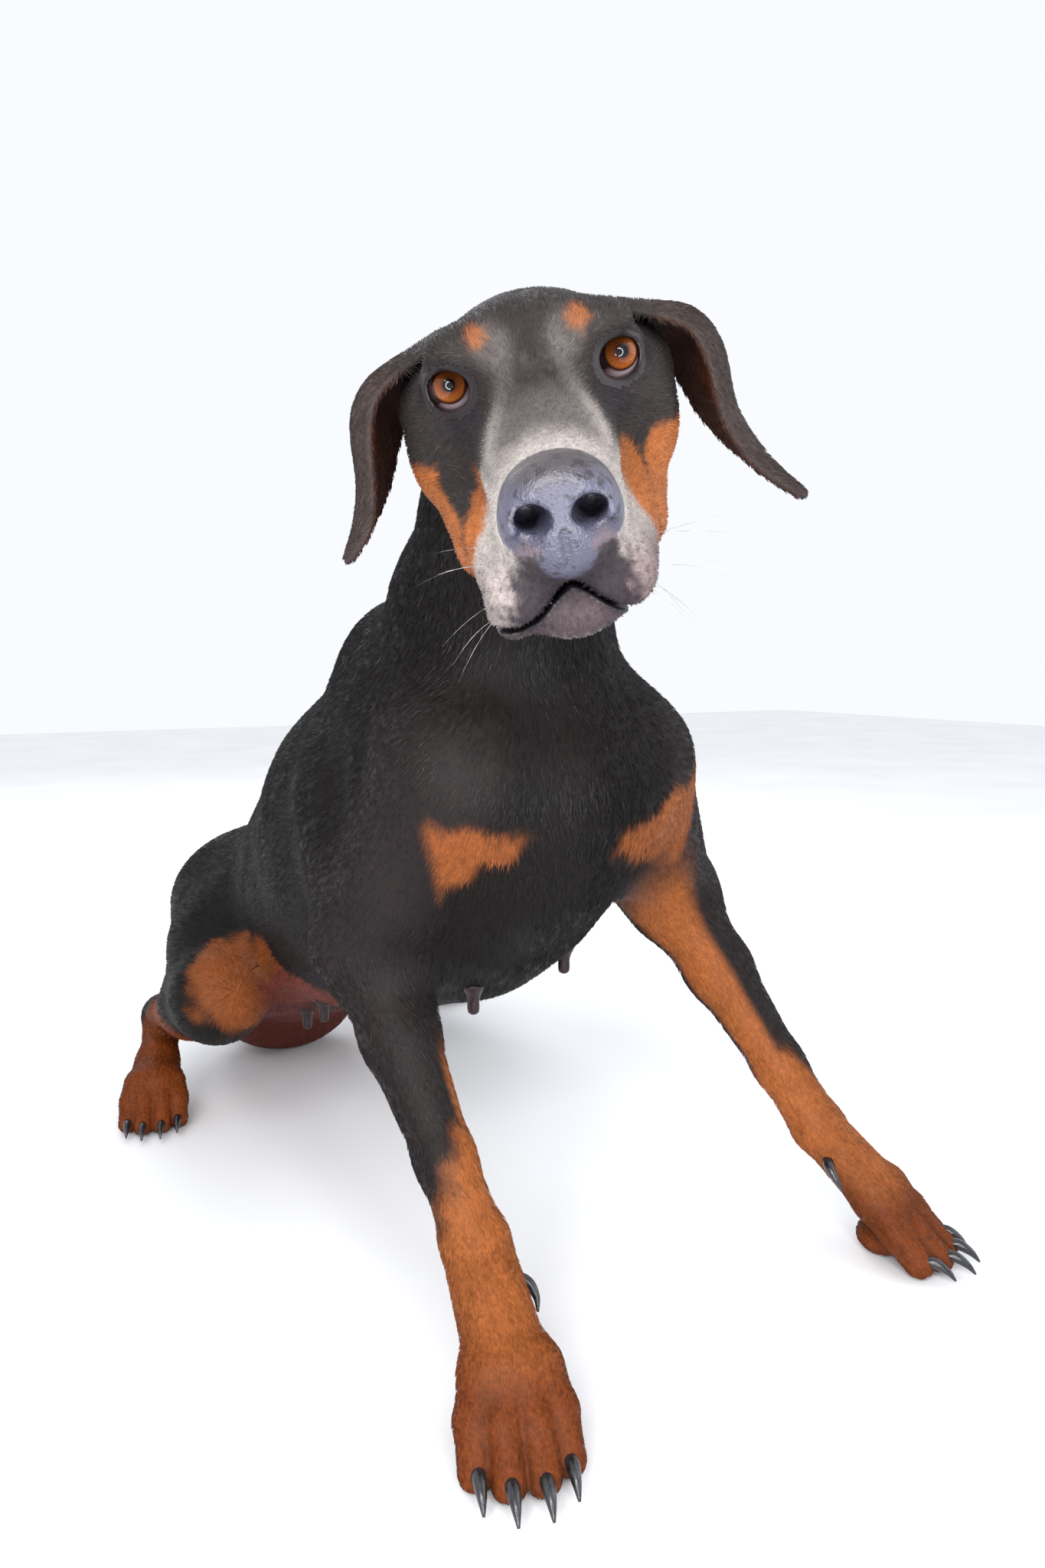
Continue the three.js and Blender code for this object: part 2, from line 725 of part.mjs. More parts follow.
const box = (low, high) => (grow) => block(sub(low, [grow, grow, grow]), add(high, [grow, grow, grow]));

// A box in head points: forward, up, left.
const headBox = ([f0, u0, l0], [f1, u1, l1]) => (grow) =>
  block([f0 - grow, l0 - grow, u0 - grow], [f1 + grow, l1 + grow, u1 + grow], HEAD_FRAME);

const earRegion = (side) => (grow) => {
  const flapAt = side > 0 ? [76, 150] : [-150, -76];
  const rootAt = side > 0 ? [60, 150] : [-150, -60];
  const flap = headBox([-110, -110, flapAt[0]], [0, -6, flapAt[1]])(grow);
  const root = headBox([-110, -6, rootAt[0]], [0, 60, rootAt[1]])(grow);
  return flap.add(root);
};

const around = (middle, half) => [sub(middle, half), add(middle, half)];

// How finely each form is sampled, and how many faces it keeps.
const DETAIL = {
  nose: { cell: 2.6, faces: 560 },
  ear: { cell: 3, faces: 500 },
  head: { cell: 3.4, faces: 3500 },
  neck: { cell: 9, faces: 420 },
  fore_paw: { cell: 3.6, faces: 640 },
  forearm: { cell: 7, faces: 300 },
  upper_foreleg: { cell: 10, faces: 300 },
  hind_paw: { cell: 3.6, faces: 600 },
  shank: { cell: 7, faces: 320 },
  thigh: { cell: 10, faces: 300 },
  tail: { cell: 5.5, faces: 260 },
  torso: { cell: 11, faces: 2000 },
};
const WINDOW_MARGIN = 20;
const TRUNK_WINDOW = [[-230, -260, -14], [240, 530, 560]];
const TAIL_WINDOW = [[-100, 480, -12], [40, 800, 70]];
const PAW_WINDOW_HEIGHT = 48;
const PAW_REACH = 220;

const wider = ([low, high]) => {
  const margin = [WINDOW_MARGIN, WINDOW_MARGIN, WINDOW_MARGIN];
  return [sub(low, margin), add(high, margin)];
};

// The forms in the order that they are cut, from the tips inwards, with the window to sample.
function forms() {
  const list = [];
  const form = (kind, tag, region, window) => {
    list.push({ name: kind + tag, ...DETAIL[kind], region, window });
  };
  form("nose", "", headBox([109, -67, -27], [150, -14, 27]), around(onHead(118, -42), [48, 48, 48]));
  form("ear", "_r", earRegion(-1), around(onHead(-50, -25, -85), [62, 58, 76]));
  form("ear", "_l", earRegion(1), around(onHead(-50, -26, 92), [62, 58, 80]));
  const headWindow = around(onHead(-10, -30), [135, 160, 135]);
  form("head", "", beyond(NECK[2][0], NECK[3][0], HEAD_START), headWindow);
  form("neck", "", beyond(NECK[1][0], NECK[2][0], NECK_START), around([-60, -190, 545], [120, 130, 120]));
  for (const side of SIDES) {
    const tag = side > 0 ? "_l" : "_r";
    const { elbow, wrist, knuckle, way } = FORE[side];
    const [x, y] = add(knuckle, mul(unit(way), 10));
    const pawWindow = around([x, y, PAW_WINDOW_HEIGHT], [66, 84, 60]);
    form("fore_paw", tag, along(wrist, knuckle, 6, PAW_REACH, 60, 70, 64), pawWindow);
    const middle = mix(elbow, wrist, 0.55);
    form("forearm", tag, along(elbow, wrist, 30, 260, 50, 50, 50), around(middle, [95, 115, 135]));
    const [inner, outer] = side > 0 ? [58, 260] : [-260, -72];
    const ends = [[inner, -235, 190], [outer, -6, 425]];
    form("upper_foreleg", tag, box(...ends), wider(ends));
  }
  for (const side of SIDES) {
    const tag = side > 0 ? "_l" : "_r";
    const { knee, hock, knuckle } = HIND[side];
    const pawWindow = around(mix(hock, knuckle, 0.85), [92, 92, 62]);
    form("hind_paw", tag, along(hock, knuckle, 24, PAW_REACH, 22, 70, 52), pawWindow);
    const middle = mix(knee, hock, 0.62);
    form("shank", tag, along(knee, hock, 30, 290, 34, 60, 48), around(middle, [105, 130, 110]));
    const ends = side > 0 ? [[72, 290, 10], [300, 480, 300]] : [[-300, 130, 10], [-88, 480, 330]];
    form("thigh", tag, box(...ends), wider(ends));
  }
  form("tail", "", box([-140, 500, -10], [60, 830, 100]), TAIL_WINDOW);
  form("torso", "", null, TRUNK_WINDOW);
  return list;
}

// Teats

// Where each teat hangs, right and left of the belly's middle line.
const TEATS = [
  [-34, -92],
  [45, -88],
  [-54, 6],
  [40, 9],
  [-64, 80],
  [28, 82],
  [-66, 152],
  [14, 152],
  [-62, 216],
  [2, 216],
];
const TEAT_LENGTH = 17;

function teat([x, y]) {
  let z = 40;
  while (flesh([x, y, z]) > 0) z += 1;
  const at = (drop) => [x, y, z - drop];
  return horn([[at(-10), 7], [at(1), 6], [at(6), 4.6], [at(13), 4.4], [at(TEAT_LENGTH), 2.4]], 7);
}

// Materials

const paint = (name, color, roughness) => {
  const material = new THREE.MeshStandardMaterial({ color, roughness, metalness: 0 });
  material.name = name;
  return material;
};

const DARK_COAT = paint("dark_coat", 0x2c2927, 0.6);
const TAN_COAT = paint("tan_coat", 0x8b4a20, 0.65);
const NOSE_PAD = paint("nose_pad", 0x4b4756, 0.4);
const IRIS = paint("eye", 0x8c4512, 0.1);
const CLAW = paint("claw", 0x151517, 0.3);

const materialOf = (name) => {
  if (name.startsWith("claw") || name.startsWith("dewclaw")) return CLAW;
  if (name.startsWith("eye")) return IRIS;
  if (name === "nose") return NOSE_PAD;
  return name.includes("paw") || name.startsWith("shank") ? TAN_COAT : DARK_COAT;
};

// Assembly

const part = new THREE.Group();
part.name = "doberman";

function place(name, solid) {
  const mesh = solid.translate(mul(FOOT, -1)).getMesh();
  const geometry = new THREE.BufferGeometry();
  const flat = [];
  for (const n of mesh.triVerts) {
    const at = n * mesh.numProp;
    flat.push(mesh.vertProperties[at], mesh.vertProperties[at + 1], mesh.vertProperties[at + 2]);
  }
  geometry.setAttribute("position", new THREE.Float32BufferAttribute(flat, 3));
  geometry.computeVertexNormals();
  const node = new THREE.Mesh(geometry, materialOf(name));
  node.name = name;
  part.add(node);
}

const cutters = [];

for (const side of SIDES) {
  const tag = side > 0 ? "l" : "r";
  const middle = onHead(-EYE_BACK, 0, side * EYE_SPREAD);
  const ball = (radius) => solidOf(new THREE.IcosahedronGeometry(radius, 3)).translate(middle);
  place(`eye_${tag}`, ball(EYE_RADIUS));
  cutters.push(ball(EYE_RADIUS + GAP));
  for (let toe = 0; toe < 4; toe++) {
    place(`claw_fore_${tag}_${toe + 1}`, horn(clawStations(FORE[side], toe, 1, 0), CLAW_SIDES));
    cutters.push(horn(clawStations(FORE[side], toe, 1, CLAW_GAP), CLAW_SIDES));
    place(`claw_hind_${tag}_${toe + 1}`, horn(clawStations(HIND[side], toe, HIND_PAW_SCALE, 0), CLAW_SIDES));
    cutters.push(horn(clawStations(HIND[side], toe, HIND_PAW_SCALE, CLAW_GAP), CLAW_SIDES));
  }
  place(`dewclaw_${tag}`, horn(dewclawStations(FORE[side], side, 0), CLAW_SIDES));
  cutters.push(horn(dewclawStations(FORE[side], side, CLAW_GAP), CLAW_SIDES));
}

const underFloor = block([-900, -900, -300], [900, 1200, 0]);
cutters.push(underFloor);

for (const { name, region, window, cell, faces } of forms()) {
  let solid = solidFrom(thinned(surface(flesh, ...window, cell), faces));
  if (name === "torso") for (const spot of TEATS) solid = solid.add(teat(spot));
  if (region) solid = solid.intersect(region(0));
  for (const cutter of cutters) solid = solid.subtract(cutter);
  place(name, largest(solid));
  if (region) cutters.push(region(GAP));
}

export default part;
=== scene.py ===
"""A doberman pinscher bitch sitting with both forelegs propped out in front.

The animal is set out in millimetres in its own frame, as the solids are. Every piece is scaled
to metres and moved by FOOT when its mesh is made, which puts it in the frame of the solids.
"""

import math

import bpy
import numpy as np
from mathutils import Matrix, Vector
from mathutils.bvhtree import BVHTree


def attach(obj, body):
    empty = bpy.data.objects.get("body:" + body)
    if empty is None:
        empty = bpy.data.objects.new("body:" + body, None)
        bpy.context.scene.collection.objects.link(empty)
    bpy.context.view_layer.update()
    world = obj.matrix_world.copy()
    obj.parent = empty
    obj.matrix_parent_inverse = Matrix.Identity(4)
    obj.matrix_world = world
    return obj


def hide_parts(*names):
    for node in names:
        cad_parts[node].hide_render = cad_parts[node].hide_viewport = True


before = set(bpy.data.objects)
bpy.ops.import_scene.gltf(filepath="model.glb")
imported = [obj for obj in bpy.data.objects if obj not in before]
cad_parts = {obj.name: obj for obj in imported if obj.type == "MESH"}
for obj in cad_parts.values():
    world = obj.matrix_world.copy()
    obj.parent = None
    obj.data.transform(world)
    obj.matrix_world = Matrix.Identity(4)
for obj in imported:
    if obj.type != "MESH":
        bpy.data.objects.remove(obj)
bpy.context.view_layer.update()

MM = 0.001
FOOT = np.array([37.2, 171.5, 0.0])
SIDES = (-1, 1)
TAGS = {-1: "r", 1: "l"}
FAR = 1e3
X_AXIS = np.array([1.0, 0.0, 0.0])
rng = np.random.default_rng(7)


# Numbers and vectors

def point(*values):
    return np.array(values, float)


def unit(v):
    return v / np.linalg.norm(v)


def rows_unit(v):
    return v / np.maximum(np.linalg.norm(v, axis=1, keepdims=True), 1e-9)


def mix(a, b, t):
    return a * (1 - t) + b * t


def ramp(x, start, end):
    """0 at start and 1 at end, with a soft turn at both."""
    t = np.clip((x - start) / (end - start), 0, 1)
    return t * t * (3 - 2 * t)


def ripple(p, length, seed):
    """Smooth noise from -1 to 1 whose waves are about `length` millimetres long."""
    waves = np.random.default_rng(seed)
    total = np.zeros(len(p))
    for _ in range(6):
        way = unit(waves.normal(size=3)) * (2 * math.pi / length) * waves.uniform(0.6, 1.6)
        total += np.sin(p @ way + waves.uniform(0, 2 * math.pi))
    return total / 3.2


def linear(red, green, blue):
    """A screen colour of 0 to 255 as the light that it stands for."""
    return (np.array([red, green, blue]) / 255.0) ** 2.2


# Building blocks of the flesh

def joined(a, b, k):
    h = np.maximum(k - np.abs(a - b), 0) / k
    return np.minimum(a, b) - h * h * k * 0.25


def carved(body, tool, k):
    return -joined(-body, tool, k)


def bone(p, a, b, ra, rb, wide=1.0, across=None):
    """A limb that tapers from a to b. Along `across` it is `wide` times as thick."""
    q = p - a
    ab = b - a
    if across is not None:
        q = q + np.outer(q @ across, across) * (1 / wide - 1)
        ab = ab + across * (ab @ across) * (1 / wide - 1)
    t = np.clip((q @ ab) / max(ab @ ab, 1e-9), 0, 1)
    d = np.sqrt(((q - t[:, None] * ab) ** 2).sum(1)) - (ra + (rb - ra) * t)
    return d * min(1.0, wide) if across is not None else d


def ellipsoid(p, centre, radii):
    q = (p - centre) / np.array(radii, float)
    near = np.sqrt((q * q).sum(1))
    steep = np.sqrt(((q / np.array(radii, float)) ** 2).sum(1))
    return near * (near - 1) / np.maximum(steep, 1e-9)


def chain(p, stations, k, across=None):
    """Bones end to end through (point, radius, width ratio) stations."""
    d = None
    for (a, ra, wa), (b, rb, wb) in zip(stations, stations[1:]):
        link = bone(p, a, b, ra, rb, (wa + wb) / 2, across)
        d = link if d is None else joined(d, link, k)
    return d


# Head frame
# Head points are (forward, up, left) from the middle of the line between the pupils.

PUPIL_RIGHT = point(-145, -295, 580)
PUPIL_LEFT = point(-78, -336, 594)
NOSE_FRONT = point(-156, -416, 510)
NOSE_DROP = math.radians(18)

BETWEEN_EYES = (PUPIL_RIGHT + PUPIL_LEFT) / 2
LEFT = unit(PUPIL_LEFT - PUPIL_RIGHT)
to_nose = NOSE_FRONT - BETWEEN_EYES
dropped = unit(to_nose - LEFT * (to_nose @ LEFT))
raised = np.cross(dropped, LEFT)
FRONT = dropped * math.cos(NOSE_DROP) + raised * math.sin(NOSE_DROP)
UP = raised * math.cos(NOSE_DROP) - dropped * math.sin(NOSE_DROP)
HEAD_AXES = np.array([FRONT, UP, LEFT])


def on_head(forward, up, left=0.0):
    return BETWEEN_EYES + point(forward, up, left) @ HEAD_AXES


def in_head(p):
    return (p - BETWEEN_EYES) @ HEAD_AXES.T


# Ears

EYE_SPREAD = 40
EYE_BACK = 8.5
EYE_RADIUS = 12
LID_RADIUS = 15
LID_WIDTH = 9.2
LID_HEIGHT = 8.6
UPPER_LID = 0.84
EAR_HALF_THICKNESS = 3.0
EAR_TIP = {-1: (-31, -76, 112), 1: (-31, -86, 127)}

# Rows from the root of the ear to its tip, each from the front margin to the rear one.
EAR_ROWS = [
    [(-36, 20, 44), (-52, 22, 42), (-70, 14, 42), (-84, -2, 46)],
    [(-34, 9, 62), (-48, 13, 64), (-72, 8, 62), (-86, -10, 58)],
    [(-28, -6, 79), (-40, 0, 82), (-66, -2, 82), (-86, -20, 72)],
    [(-25, -24, 86), (-38, -16, 93), (-60, -18, 92), (-82, -34, 80)],
    [(-25, -44, 90), (-36, -42, 97), (-55, -44, 96), (-70, -48, 88)],
    [(-26, -60, 96), (-36, -60, 104), (-48, -60, 102), (-58, -60, 97)],
]
EAR_END = [(3, 2, -3), (1, 1, 0), (-3, 2, 0), (-6, 4, -2)]
# How much higher each row of an ear is held, and how far the last row follows the tip.
EAR_HELD_UP = {-1: [0, 2, 6, 6, 2, 0], 1: [0, 4, 10, 9, 4, 0]}
EAR_FOLLOW = 0.45
EAR_FINER = 4


def finer(rows, times):
    """The same rows with `times` steps of a smooth curve between each two."""
    first = 2 * rows[0] - rows[1]
    last = 2 * rows[-1] - rows[-2]
    held = [first, *rows, last]
    result = []
    for i in range(1, len(held) - 2):
        a, b, c, e = held[i - 1:i + 3]
        for t in np.arange(times) / times:
            result.append(0.5 * (2 * b + (c - a) * t + (2 * a - 5 * b + 4 * c - e) * t ** 2
                                 + (3 * b - a - 3 * c + e) * t ** 3))
    return result + [rows[-1]]


def ear_sheet(side):
    """The middle surface of one ear flap, as points and triangles in head points."""
    rows = [np.array(row, float) + (0, rise, 0) for row, rise in zip(EAR_ROWS, EAR_HELD_UP[side])]
    rows[-1] = rows[-1] + (point(*EAR_TIP[side]) - point(*EAR_TIP[-1])) * EAR_FOLLOW
    rows.append(point(*EAR_TIP[side]) + np.array(EAR_END, float))
    rows = [np.array(finer(list(row), EAR_FINER)) for row in rows]
    rows = finer(rows, EAR_FINER)
    grid = np.array(rows) * (1, 1, side)
    high, wide = grid.shape[:2]
    faces = []
    for i in range(high - 1):
        for j in range(wide - 1):
            a = i * wide + j
            faces += [(a, a + wide, a + wide + 1), (a, a + wide + 1, a + 1)]
    return grid.reshape(-1, 3), faces


EAR_TREES = {}
for side in SIDES:
    ear_points, ear_faces = ear_sheet(side)
    EAR_TREES[side] = BVHTree.FromPolygons(ear_points.tolist(), ear_faces)

EAR_MIDDLE = point(-55, -25, 82)
EAR_REACH = point(50, 88, 68)


def ear(q, side):
    d = np.full(len(q), FAR)
    near = (np.abs(q - EAR_MIDDLE * (1, 1, side)) < EAR_REACH).all(1)
    nearest = EAR_TREES[side].find_nearest
    d[near] = [nearest(p)[3] for p in q[near].tolist()]
    return d - EAR_HALF_THICKNESS


# Skull, lips, nose and lids

LATERAL = point(0, 0, 1)


def skull(q):
    d = ellipsoid(q, (-58, -6, 0), (78, 42, 54))
    d = joined(d, ellipsoid(q, (-12, -2, 0), (44, 33, 42)), 18)
    d = joined(d, bone(q, point(0, -22, 0), point(106, -49, 0), 34, 26, 1.05, LATERAL), 20)
    for side in SIDES:
        d = joined(d, ellipsoid(q, (-42, -26, side * 44), (42, 38, 24)), 14)
        d = joined(d, bone(q, point(-2, -20, side * 42), point(-50, -9, side * 57), 9, 11), 18)
        d = joined(d, ellipsoid(q, (-3, 16, side * 34), (18, 9, 15)), 14)
        d = joined(d, ellipsoid(q, (-62, -4, side * 44), (22, 26, 20)), 12)
    return d


# The head leans to the right, so that the right upper lip hangs lowest here.
LOW_FLEW = (93, -87, -27)
MOUTH_HALF_GAP = 0.35
MOUTH_DEPTH = 5
MOUTH_CORNER = 34
NOSE_FLAT = 133


def mouth_height(q):
    """Where the lips meet: highest in the middle, low under the flews, rising to the corners."""
    a = np.abs(q[:, 2])
    return -71.5 - 19 * ramp(a, -6, 27) + 11 * ramp(q[:, 0], 72, 34)


def lips(q, d):
    d = joined(d, bone(q, point(-70, -58, 0), point(92, -88, 0), 30, 12, 1.25, LATERAL), 14)
    d = joined(d, ellipsoid(q, (100, -88, 0), (15, 12, 19)), 8)
    for side in SIDES:
        d = joined(d, bone(q, point(-30, -36, side * 44), point(40, -66, side * 32), 20, 17), 16)
        d = joined(d, bone(q, point(46, -66, side * 28), point(102, -75, side * 20), 17, 16.5), 10)
    d = joined(d, ellipsoid(q, LOW_FLEW, (14, 11, 10)), 8)
    slit = np.maximum(np.abs(q[:, 1] - mouth_height(q)) * 0.85 - MOUTH_HALF_GAP, -MOUTH_DEPTH - d)
    slit = np.maximum(slit, MOUTH_CORNER - q[:, 0])
    return carved(d, slit, 1.6)


def nose_pad(q):
    """The bare pad: broad across the nostrils, narrow below and flat in front."""
    upper = ellipsoid(q, (114, -38, 0), (18, 16, 22.5))
    d = joined(upper, ellipsoid(q, (117, -52, 0), (14, 17.5, 15.5)), 12)
    for side in SIDES:
        d = joined(d, ellipsoid(q, (119, -46, side * 15.5), (10.5, 10.5, 9)), 4)
    return -joined(-d, NOSE_FLAT - q[:, 0], 7)


def nostrils(q):
    """Both nostrils: a round opening in front, with a slit that curls back to the side."""
    d = np.full(len(q), FAR)
    for side in SIDES:
        opening = bone(q, point(138, -44.5, side * 10), point(110, -43, side * 13), 5.4, 4.2, 1.15, LATERAL)
        slit = bone(q, point(131, -51, side * 13), point(120, -56, side * 27), 3.6, 2.6)
        d = np.minimum(d, joined(opening, slit, 3))
    return d


def philtrum(q):
    return bone(q, point(133.4, -47, 0), point(126.5, -72, 0), 1.0, 1.2)


def nose(q, d):
    d = joined(d, nose_pad(q), 3)
    d = carved(d, nostrils(q), 1.8)
    return carved(d, philtrum(q), 1.0)


def lid_span(q, side):
    """How far out from the middle of the eye opening a point is, 1 at the lid's edge."""
    up = q[:, 1]
    left = q[:, 2] - side * EYE_SPREAD
    wide = (left + 0.1 * side * up) / LID_WIDTH
    tall = (up - 0.1 * side * left) / np.where(up > 0, LID_HEIGHT * UPPER_LID, LID_HEIGHT)
    return np.hypot(wide, tall)


def lids(q, d, side):
    v = q - point(-EYE_BACK, 0, side * EYE_SPREAD)
    ball = np.sqrt((v * v).sum(1))
    d = joined(d, ball - LID_RADIUS, 5)
    front = v[:, 0] > -2
    opening = (lid_span(q, side) - 1) * LID_HEIGHT
    return np.where(front, carved(d, opening, 1.5), d)


# Hollows of the face: where, how wide and how deep.
HOLLOWS = [
    ((26, -12, 27), 12, 2.6),
    ((16, 4, 19), 9, 1.6),
    ((-40, 18, 47), 14, 2.4),
    ((14, -36, 46), 13, 2.0),
    ((74, -42, 30), 15, 1.4),
    ((4, -20, 44), 6, 0.8),
]
FURROW_DEPTH = 1.6


def hollows(q, d):
    """A furrow up the middle of the forehead, and the soft hollows of the face."""
    d = d + FURROW_DEPTH * np.exp(-(q[:, 2] / 5) ** 2) * ramp(q[:, 1], 4, 16) * ramp(q[:, 0], -60, -30)
    mirrored = np.stack([q[:, 0], q[:, 1], np.abs(q[:, 2])], 1)
    for centre, spread, deep in HOLLOWS:
        away = ((mirrored - centre) ** 2).sum(1)
        d = d + deep * np.exp(-away / spread ** 2)
    return d


def head(q):
    d = nose(q, lips(q, skull(q)))
    d = hollows(q, d)
    for side in SIDES:
        d = joined(d, ear(q, side), 7)
        d = lids(q, d, side)
    return d


# Trunk, neck and tail

TRUNK = [
    (point(-12, -165, 380), 60, 1.0),
    (point(-12, -100, 366), 118, 0.8),
    (point(-13, -15, 335), 140, 0.8),
    (point(-20, 80, 296), 135, 0.83),
    (point(-26, 170, 250), 114, 0.88),
    (point(-30, 260, 206), 102, 0.92),
    (point(-28, 345, 164), 94, 0.94),
    (point(-24, 410, 108), 76, 1),
]
NECK = [
    (point(-14, -60, 425), 92, 0.85),
    (point(-36, -135, 480), 72, 0.92),
    (point(-52, -198, 540), 56, 0.98),
    (on_head(-78, -24), 52, 1),
]
TAIL = [
    (point(-24, 420, 100), 34, 1),
    (point(-34, 484, 48), 24, 1),
    (point(-46, 552, 17), 17, 1),
    (point(-48, 632, 12), 12.5, 1),
    (point(-34, 702, 9), 9.5, 1),
    (point(-8, 764, 6), 7, 1),
]
SEAT_CENTRE = (-18, 436, 62)
SEAT_RADII = (84, 62, 64)


# Legs

FORE = {
    -1: dict(
        blade=point(-46, 5, 452),
        shoulder=point(-82, -162, 386),
        elbow=point(-109, -75, 256),
        wrist=point(-84, -193, 88),
        knuckle=point(-93, -257, 42),
        way=point(-0.3, -0.954, 0),
    ),
    1: dict(
        blade=point(22, 5, 452),
        shoulder=point(52, -160, 384),
        elbow=point(146, -85, 267),
        wrist=point(214, -187, 96),
        knuckle=point(252, -216, 44),
        way=point(0.5, -0.866, 0),
    ),
}
HIND = {
    -1: dict(
        hip=point(-80, 345, 188),
        knee=point(-150, 198, 146),
        hock=point(-166, 389, 74),
        knuckle=point(-192, 302, 34),
        way=point(-0.25, -0.97, 0),
    ),
    1: dict(
        hip=point(38, 375, 175),
        knee=point(205, 390, 118),
        hock=point(120, 556, 38),
        knuckle=point(205, 516, 30),
        way=point(0.87, -0.49, 0),
    ),
}
# Each toe: how far it stands out to the side, and how far ahead of the knuckles.
TOES = [(-26, 36), (-9.5, 47), (9.5, 47), (26, 36)]
HIND_PAW_SCALE = 0.88
NOT_JOINTS = ("way", "across")
for joints in (*FORE.values(), *HIND.values()):
    joints["way"] = unit(joints["way"])
    joints["across"] = point(joints["way"][1], -joints["way"][0], 0)


def joint_points(joints):
    return [spot for name, spot in joints.items() if name not in NOT_JOINTS]


def toe_joints(joints, toe, scale):
    """The three joints of one toe, from the knuckles to its tip."""
    knuckle = joints["knuckle"]
    out, ahead = TOES[toe]
    ground = point(knuckle[0], knuckle[1], 0)

    def at(forward, aside, height):
        return ground + joints["way"] * forward + joints["across"] * aside + point(0, 0, height)

    return (
        at(2, out * 0.62 * scale, knuckle[2]),
        at(ahead * 0.52 * scale, out * 0.92 * scale, 27 * scale),
        at(ahead * scale, out * scale, 10 * scale),
    )


def paw(p, joints, start, scale):
    d = None
    for toe in range(len(TOES)):
        base, arch, tip = toe_joints(joints, toe, scale)
        upper = bone(p, base, arch, 15 * scale, 12 * scale)
        lower = bone(p, arch, tip, 12 * scale, 10.8 * scale)
        digit = joined(upper, lower, 6)
        d = digit if d is None else joined(d, digit, 3)
    knuckle = joints["knuckle"]
    pad = point(knuckle[0], knuckle[1], 12 * scale) + joints["way"] * 5 * scale
    d = joined(d, ellipsoid(p, pad, (21 * scale, 21 * scale, 14 * scale)), 6)
    return joined(d, bone(p, start, knuckle, 18, 20.5, 1.25, joints["across"]), 12)


def foreleg(p, side):
    joints = FORE[side]
    blade, shoulder, elbow, wrist, _ = joint_points(joints)
    back = mix(blade, elbow, 0.55) + point(side * 4, 10, 0)
    d = bone(p, blade, shoulder, 34, 38)
    d = joined(d, bone(p, shoulder, elbow, 42, 34), 20)
    d = joined(d, bone(p, back, elbow, 40, 32), 20)
    forearm = [
        (elbow, 32, 1),
        (mix(elbow, wrist, 0.34), 25.5, 1),
        (mix(elbow, wrist, 0.75), 18.5, 1),
        (wrist, 20, 1),
    ]
    d = joined(d, chain(p, forearm, 12), 18)
    d = joined(d, ellipsoid(p, elbow + point(0, 26, 8), (14, 16, 20)), 14)
    return joined(d, paw(p, joints, wrist, 1), 8)


def hindleg(p, side):
    joints = HIND[side]
    hip, knee, hock, knuckle = joint_points(joints)
    middle = mix(hip, knee, 0.5)
    d = joined(bone(p, hip, middle, 84, 62), bone(p, middle, knee, 62, 40), 20)
    shank = [
        (knee, 38, 1),
        (mix(knee, hock, 0.4), 32, 1),
        (mix(knee, hock, 0.85), 20, 1),
        (hock, 21, 1),
    ]
    d = joined(d, chain(p, shank, 14), 20)
    foot = [(hock, 21, 1), (mix(hock, knuckle, 0.6), 17, 1.15), (knuckle, 19, 1.2)]
    d = joined(d, chain(p, foot, 10), 8)
    behind = knuckle - joints["way"] * 30 + point(0, 0, 8)
    return joined(d, paw(p, joints, behind, HIND_PAW_SCALE), 8)


# The whole animal

FORE_REACH = 92
HIND_REACH = 132
HEAD_REACH = 185
HEAD_MIDDLE = on_head(-5, -30)


def within(p, low, high):
    return ((p > low) & (p < high)).all(1)


def leg_zone(p, joints, reach):
    spots = np.array(joint_points(joints))
    return within(p, spots.min(0) - reach, spots.max(0) + reach)


def only(zone, p, shape):
    """The distance to a form, worked out in its own zone only."""
    d = np.full(len(p), FAR)
    if zone.any():
        d[zone] = shape(p[zone])
    return d


def body_parts(p):
    """The distance from each point to each part of the body."""
    parts = {
        "neck": only(p[:, 2] > 250, p, lambda s: chain(s, NECK, 25, X_AXIS)),
        "trunk": only(p[:, 2] < 560, p, lambda s: chain(s, TRUNK, 25, X_AXIS)),
        "seat": only(p[:, 1] > 300, p, lambda s: ellipsoid(s, SEAT_CENTRE, SEAT_RADII)),
        "tail": only(p[:, 1] > 330, p, lambda s: chain(s, TAIL, 10)),
    }
    for side, tag in TAGS.items():
        fore = leg_zone(p, FORE[side], FORE_REACH)
        hind = leg_zone(p, HIND[side], HIND_REACH)
        parts["fore_" + tag] = only(fore, p, lambda s: foreleg(s, side))
        parts["hind_" + tag] = only(hind, p, lambda s: hindleg(s, side))
    near_head = ((p - HEAD_MIDDLE) ** 2).sum(1) < HEAD_REACH ** 2
    parts["head"] = only(near_head, p, lambda s: head(in_head(s)))
    return parts


# How softly each part joins the rest.
JOINS = {"trunk": 40, "seat": 30, "fore_r": 40, "hind_r": 40, "fore_l": 40, "hind_l": 40}
JOINS.update({"tail": 14, "head": 16})
CHUNK = 60000


def flesh_of(parts):
    d = parts["neck"]
    for name, k in JOINS.items():
        d = joined(d, parts[name], k)
    return d


def flesh(p):
    result = np.empty(len(p))
    for start in range(0, len(p), CHUNK):
        piece = slice(start, start + CHUNK)
        result[piece] = flesh_of(body_parts(p[piece]))
    return result


COAT_DEPTH = 0.9
SOLE = 0.1


def skin_field(p):
    return np.maximum(flesh(p) + COAT_DEPTH, SOLE - p[:, 2])


def slope(field, p):
    """The direction in which the field grows."""
    tips = np.array([(1, 1, 1), (1, -1, -1), (-1, 1, -1), (-1, -1, 1)], float)
    return rows_unit(sum(field(p + tip * SLOPE_STEP)[:, None] * tip for tip in tips))


# Field to surface

